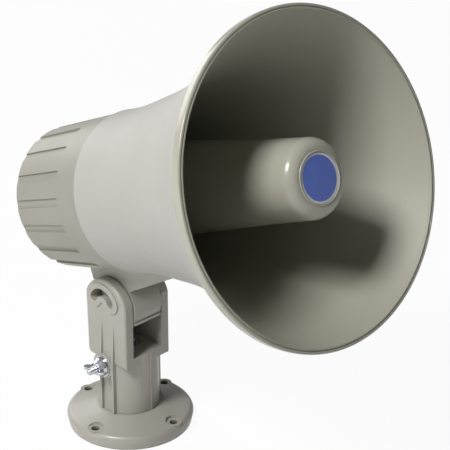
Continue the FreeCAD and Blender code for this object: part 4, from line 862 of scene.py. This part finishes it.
# %% World
FILL = 0.005
WALLS, CEILING = 0.08, 0.55
WALL_TOP, CEILING_EDGE = 0.1, 0.7
world = bpy.data.worlds.new("studio")
scene.world = world
world.use_nodes = True
world.node_tree.nodes.clear()
path = add(world, "ShaderNodeLightPath")
direction = add(world, "ShaderNodeTexCoord").outputs["Generated"]
looking = add(world, "ShaderNodeSeparateXYZ", {"Vector": direction})
room = add(world, "ShaderNodeMapRange", {"Value": looking.outputs["Z"]},
           {"From Min": WALL_TOP, "From Max": CEILING_EDGE, "To Min": WALLS, "To Max": CEILING})
mirrored = add(world, "ShaderNodeMath",
               {0: path.outputs["Is Glossy Ray"], 1: room.outputs["Result"]},
               operation="MULTIPLY")
straight = add(world, "ShaderNodeMath",
               {0: path.outputs["Is Camera Ray"], 1: path.outputs["Is Transmission Ray"]},
               operation="MAXIMUM")
seen = add(world, "ShaderNodeMath", {0: straight.outputs[0], 1: mirrored.outputs[0]},
           operation="MAXIMUM")
strength = add(world, "ShaderNodeMath", {0: seen.outputs[0]}, {1: FILL}, operation="MAXIMUM")
sky = add(world, "ShaderNodeBackground", {"Strength": strength.outputs[0]},
          {"Color": (1.0, 1.0, 1.0, 1.0)})
add(world, "ShaderNodeOutputWorld", {"Surface": sky.outputs["Background"]})
print("room from", WALLS, "at the walls to", CEILING, "overhead")

# %% [markdown]
# ## Floor
# The object stands on white backdrop paper. Where the camera or gloss sees it, the paper is
# nearly all plain white, with a small share of its lit surface left for the soft shadow. Close
# to the post a painted shadow makes it dark, because the flange covers it and its holes look down on it.

# %% Backdrop paper
SEEN_WHITE = 0.95
PAINTED_SHADOW_RADIUS = 41.5
paper = blank("white_backdrop_paper")
path = add(paper, "ShaderNodeLightPath")
direct = add(paper, "ShaderNodeMath",
             {0: path.outputs["Is Camera Ray"], 1: path.outputs["Is Glossy Ray"]},
             operation="MAXIMUM")
seen = add(paper, "ShaderNodeMath",
           {0: direct.outputs[0], 1: path.outputs["Is Transmission Ray"]}, operation="MAXIMUM")
place_on_paper = add(paper, "ShaderNodeTexCoord").outputs["Object"]
off_post = add(paper, "ShaderNodeVectorMath", {"Vector": place_on_paper}, operation="LENGTH")
# Painted shadow: inside this radius round the post the paper takes no white and turns near black.
outside_painted_shadow = add(paper, "ShaderNodeMath", {0: off_post.outputs["Value"]},
                 {1: PAINTED_SHADOW_RADIUS * MM}, operation="GREATER_THAN")
seen_outside_painted_shadow = add(paper, "ShaderNodeMath", {0: seen.outputs[0], 1: outside_painted_shadow.outputs[0]},
                operation="MULTIPLY")
share = add(paper, "ShaderNodeMath", {0: seen_outside_painted_shadow.outputs[0]}, {1: SEEN_WHITE},
            operation="MULTIPLY")
# Painted shadow colour under the flange, plain white beyond it.
tone = add(paper, "ShaderNodeMix", {"Factor": outside_painted_shadow.outputs[0]},
           {6: linear("#24221E"), 7: linear("#F4F4F4")}, data_type="RGBA")
matt = add(paper, "ShaderNodeBsdfDiffuse", {"Color": tone.outputs[2]})
bright = add(paper, "ShaderNodeEmission", inputs={"Color": (1.0, 1.0, 1.0, 1.0), "Strength": 1.0})
both = add(paper, "ShaderNodeMixShader",
           {0: share.outputs[0], 1: matt.outputs[0], 2: bright.outputs[0]})
add(paper, "ShaderNodeOutputMaterial", {"Surface": both.outputs[0]})
print("paper white beyond", PAINTED_SHADOW_RADIUS, "mm of the post's middle")

# %% Floor
FLOOR_REACH = 6.0
FLOOR_DROP = 0.2 * MM
reach = np.linspace(-FLOOR_REACH, FLOOR_REACH, 2)
level = np.full((2, 2), -FLOOR_DROP)
floor_grid = np.stack(np.meshgrid(reach, reach, indexing="ij") + [level], -1)
floor_mesh = mesh_of("floor", floor_grid, False, False)
floor_mesh.materials.append(paper)
floor = bpy.data.objects.new("floor", floor_mesh)
scene.collection.objects.link(floor)
scene.view_settings.view_transform = "Standard"
print("floor", 2 * FLOOR_REACH, "m square")
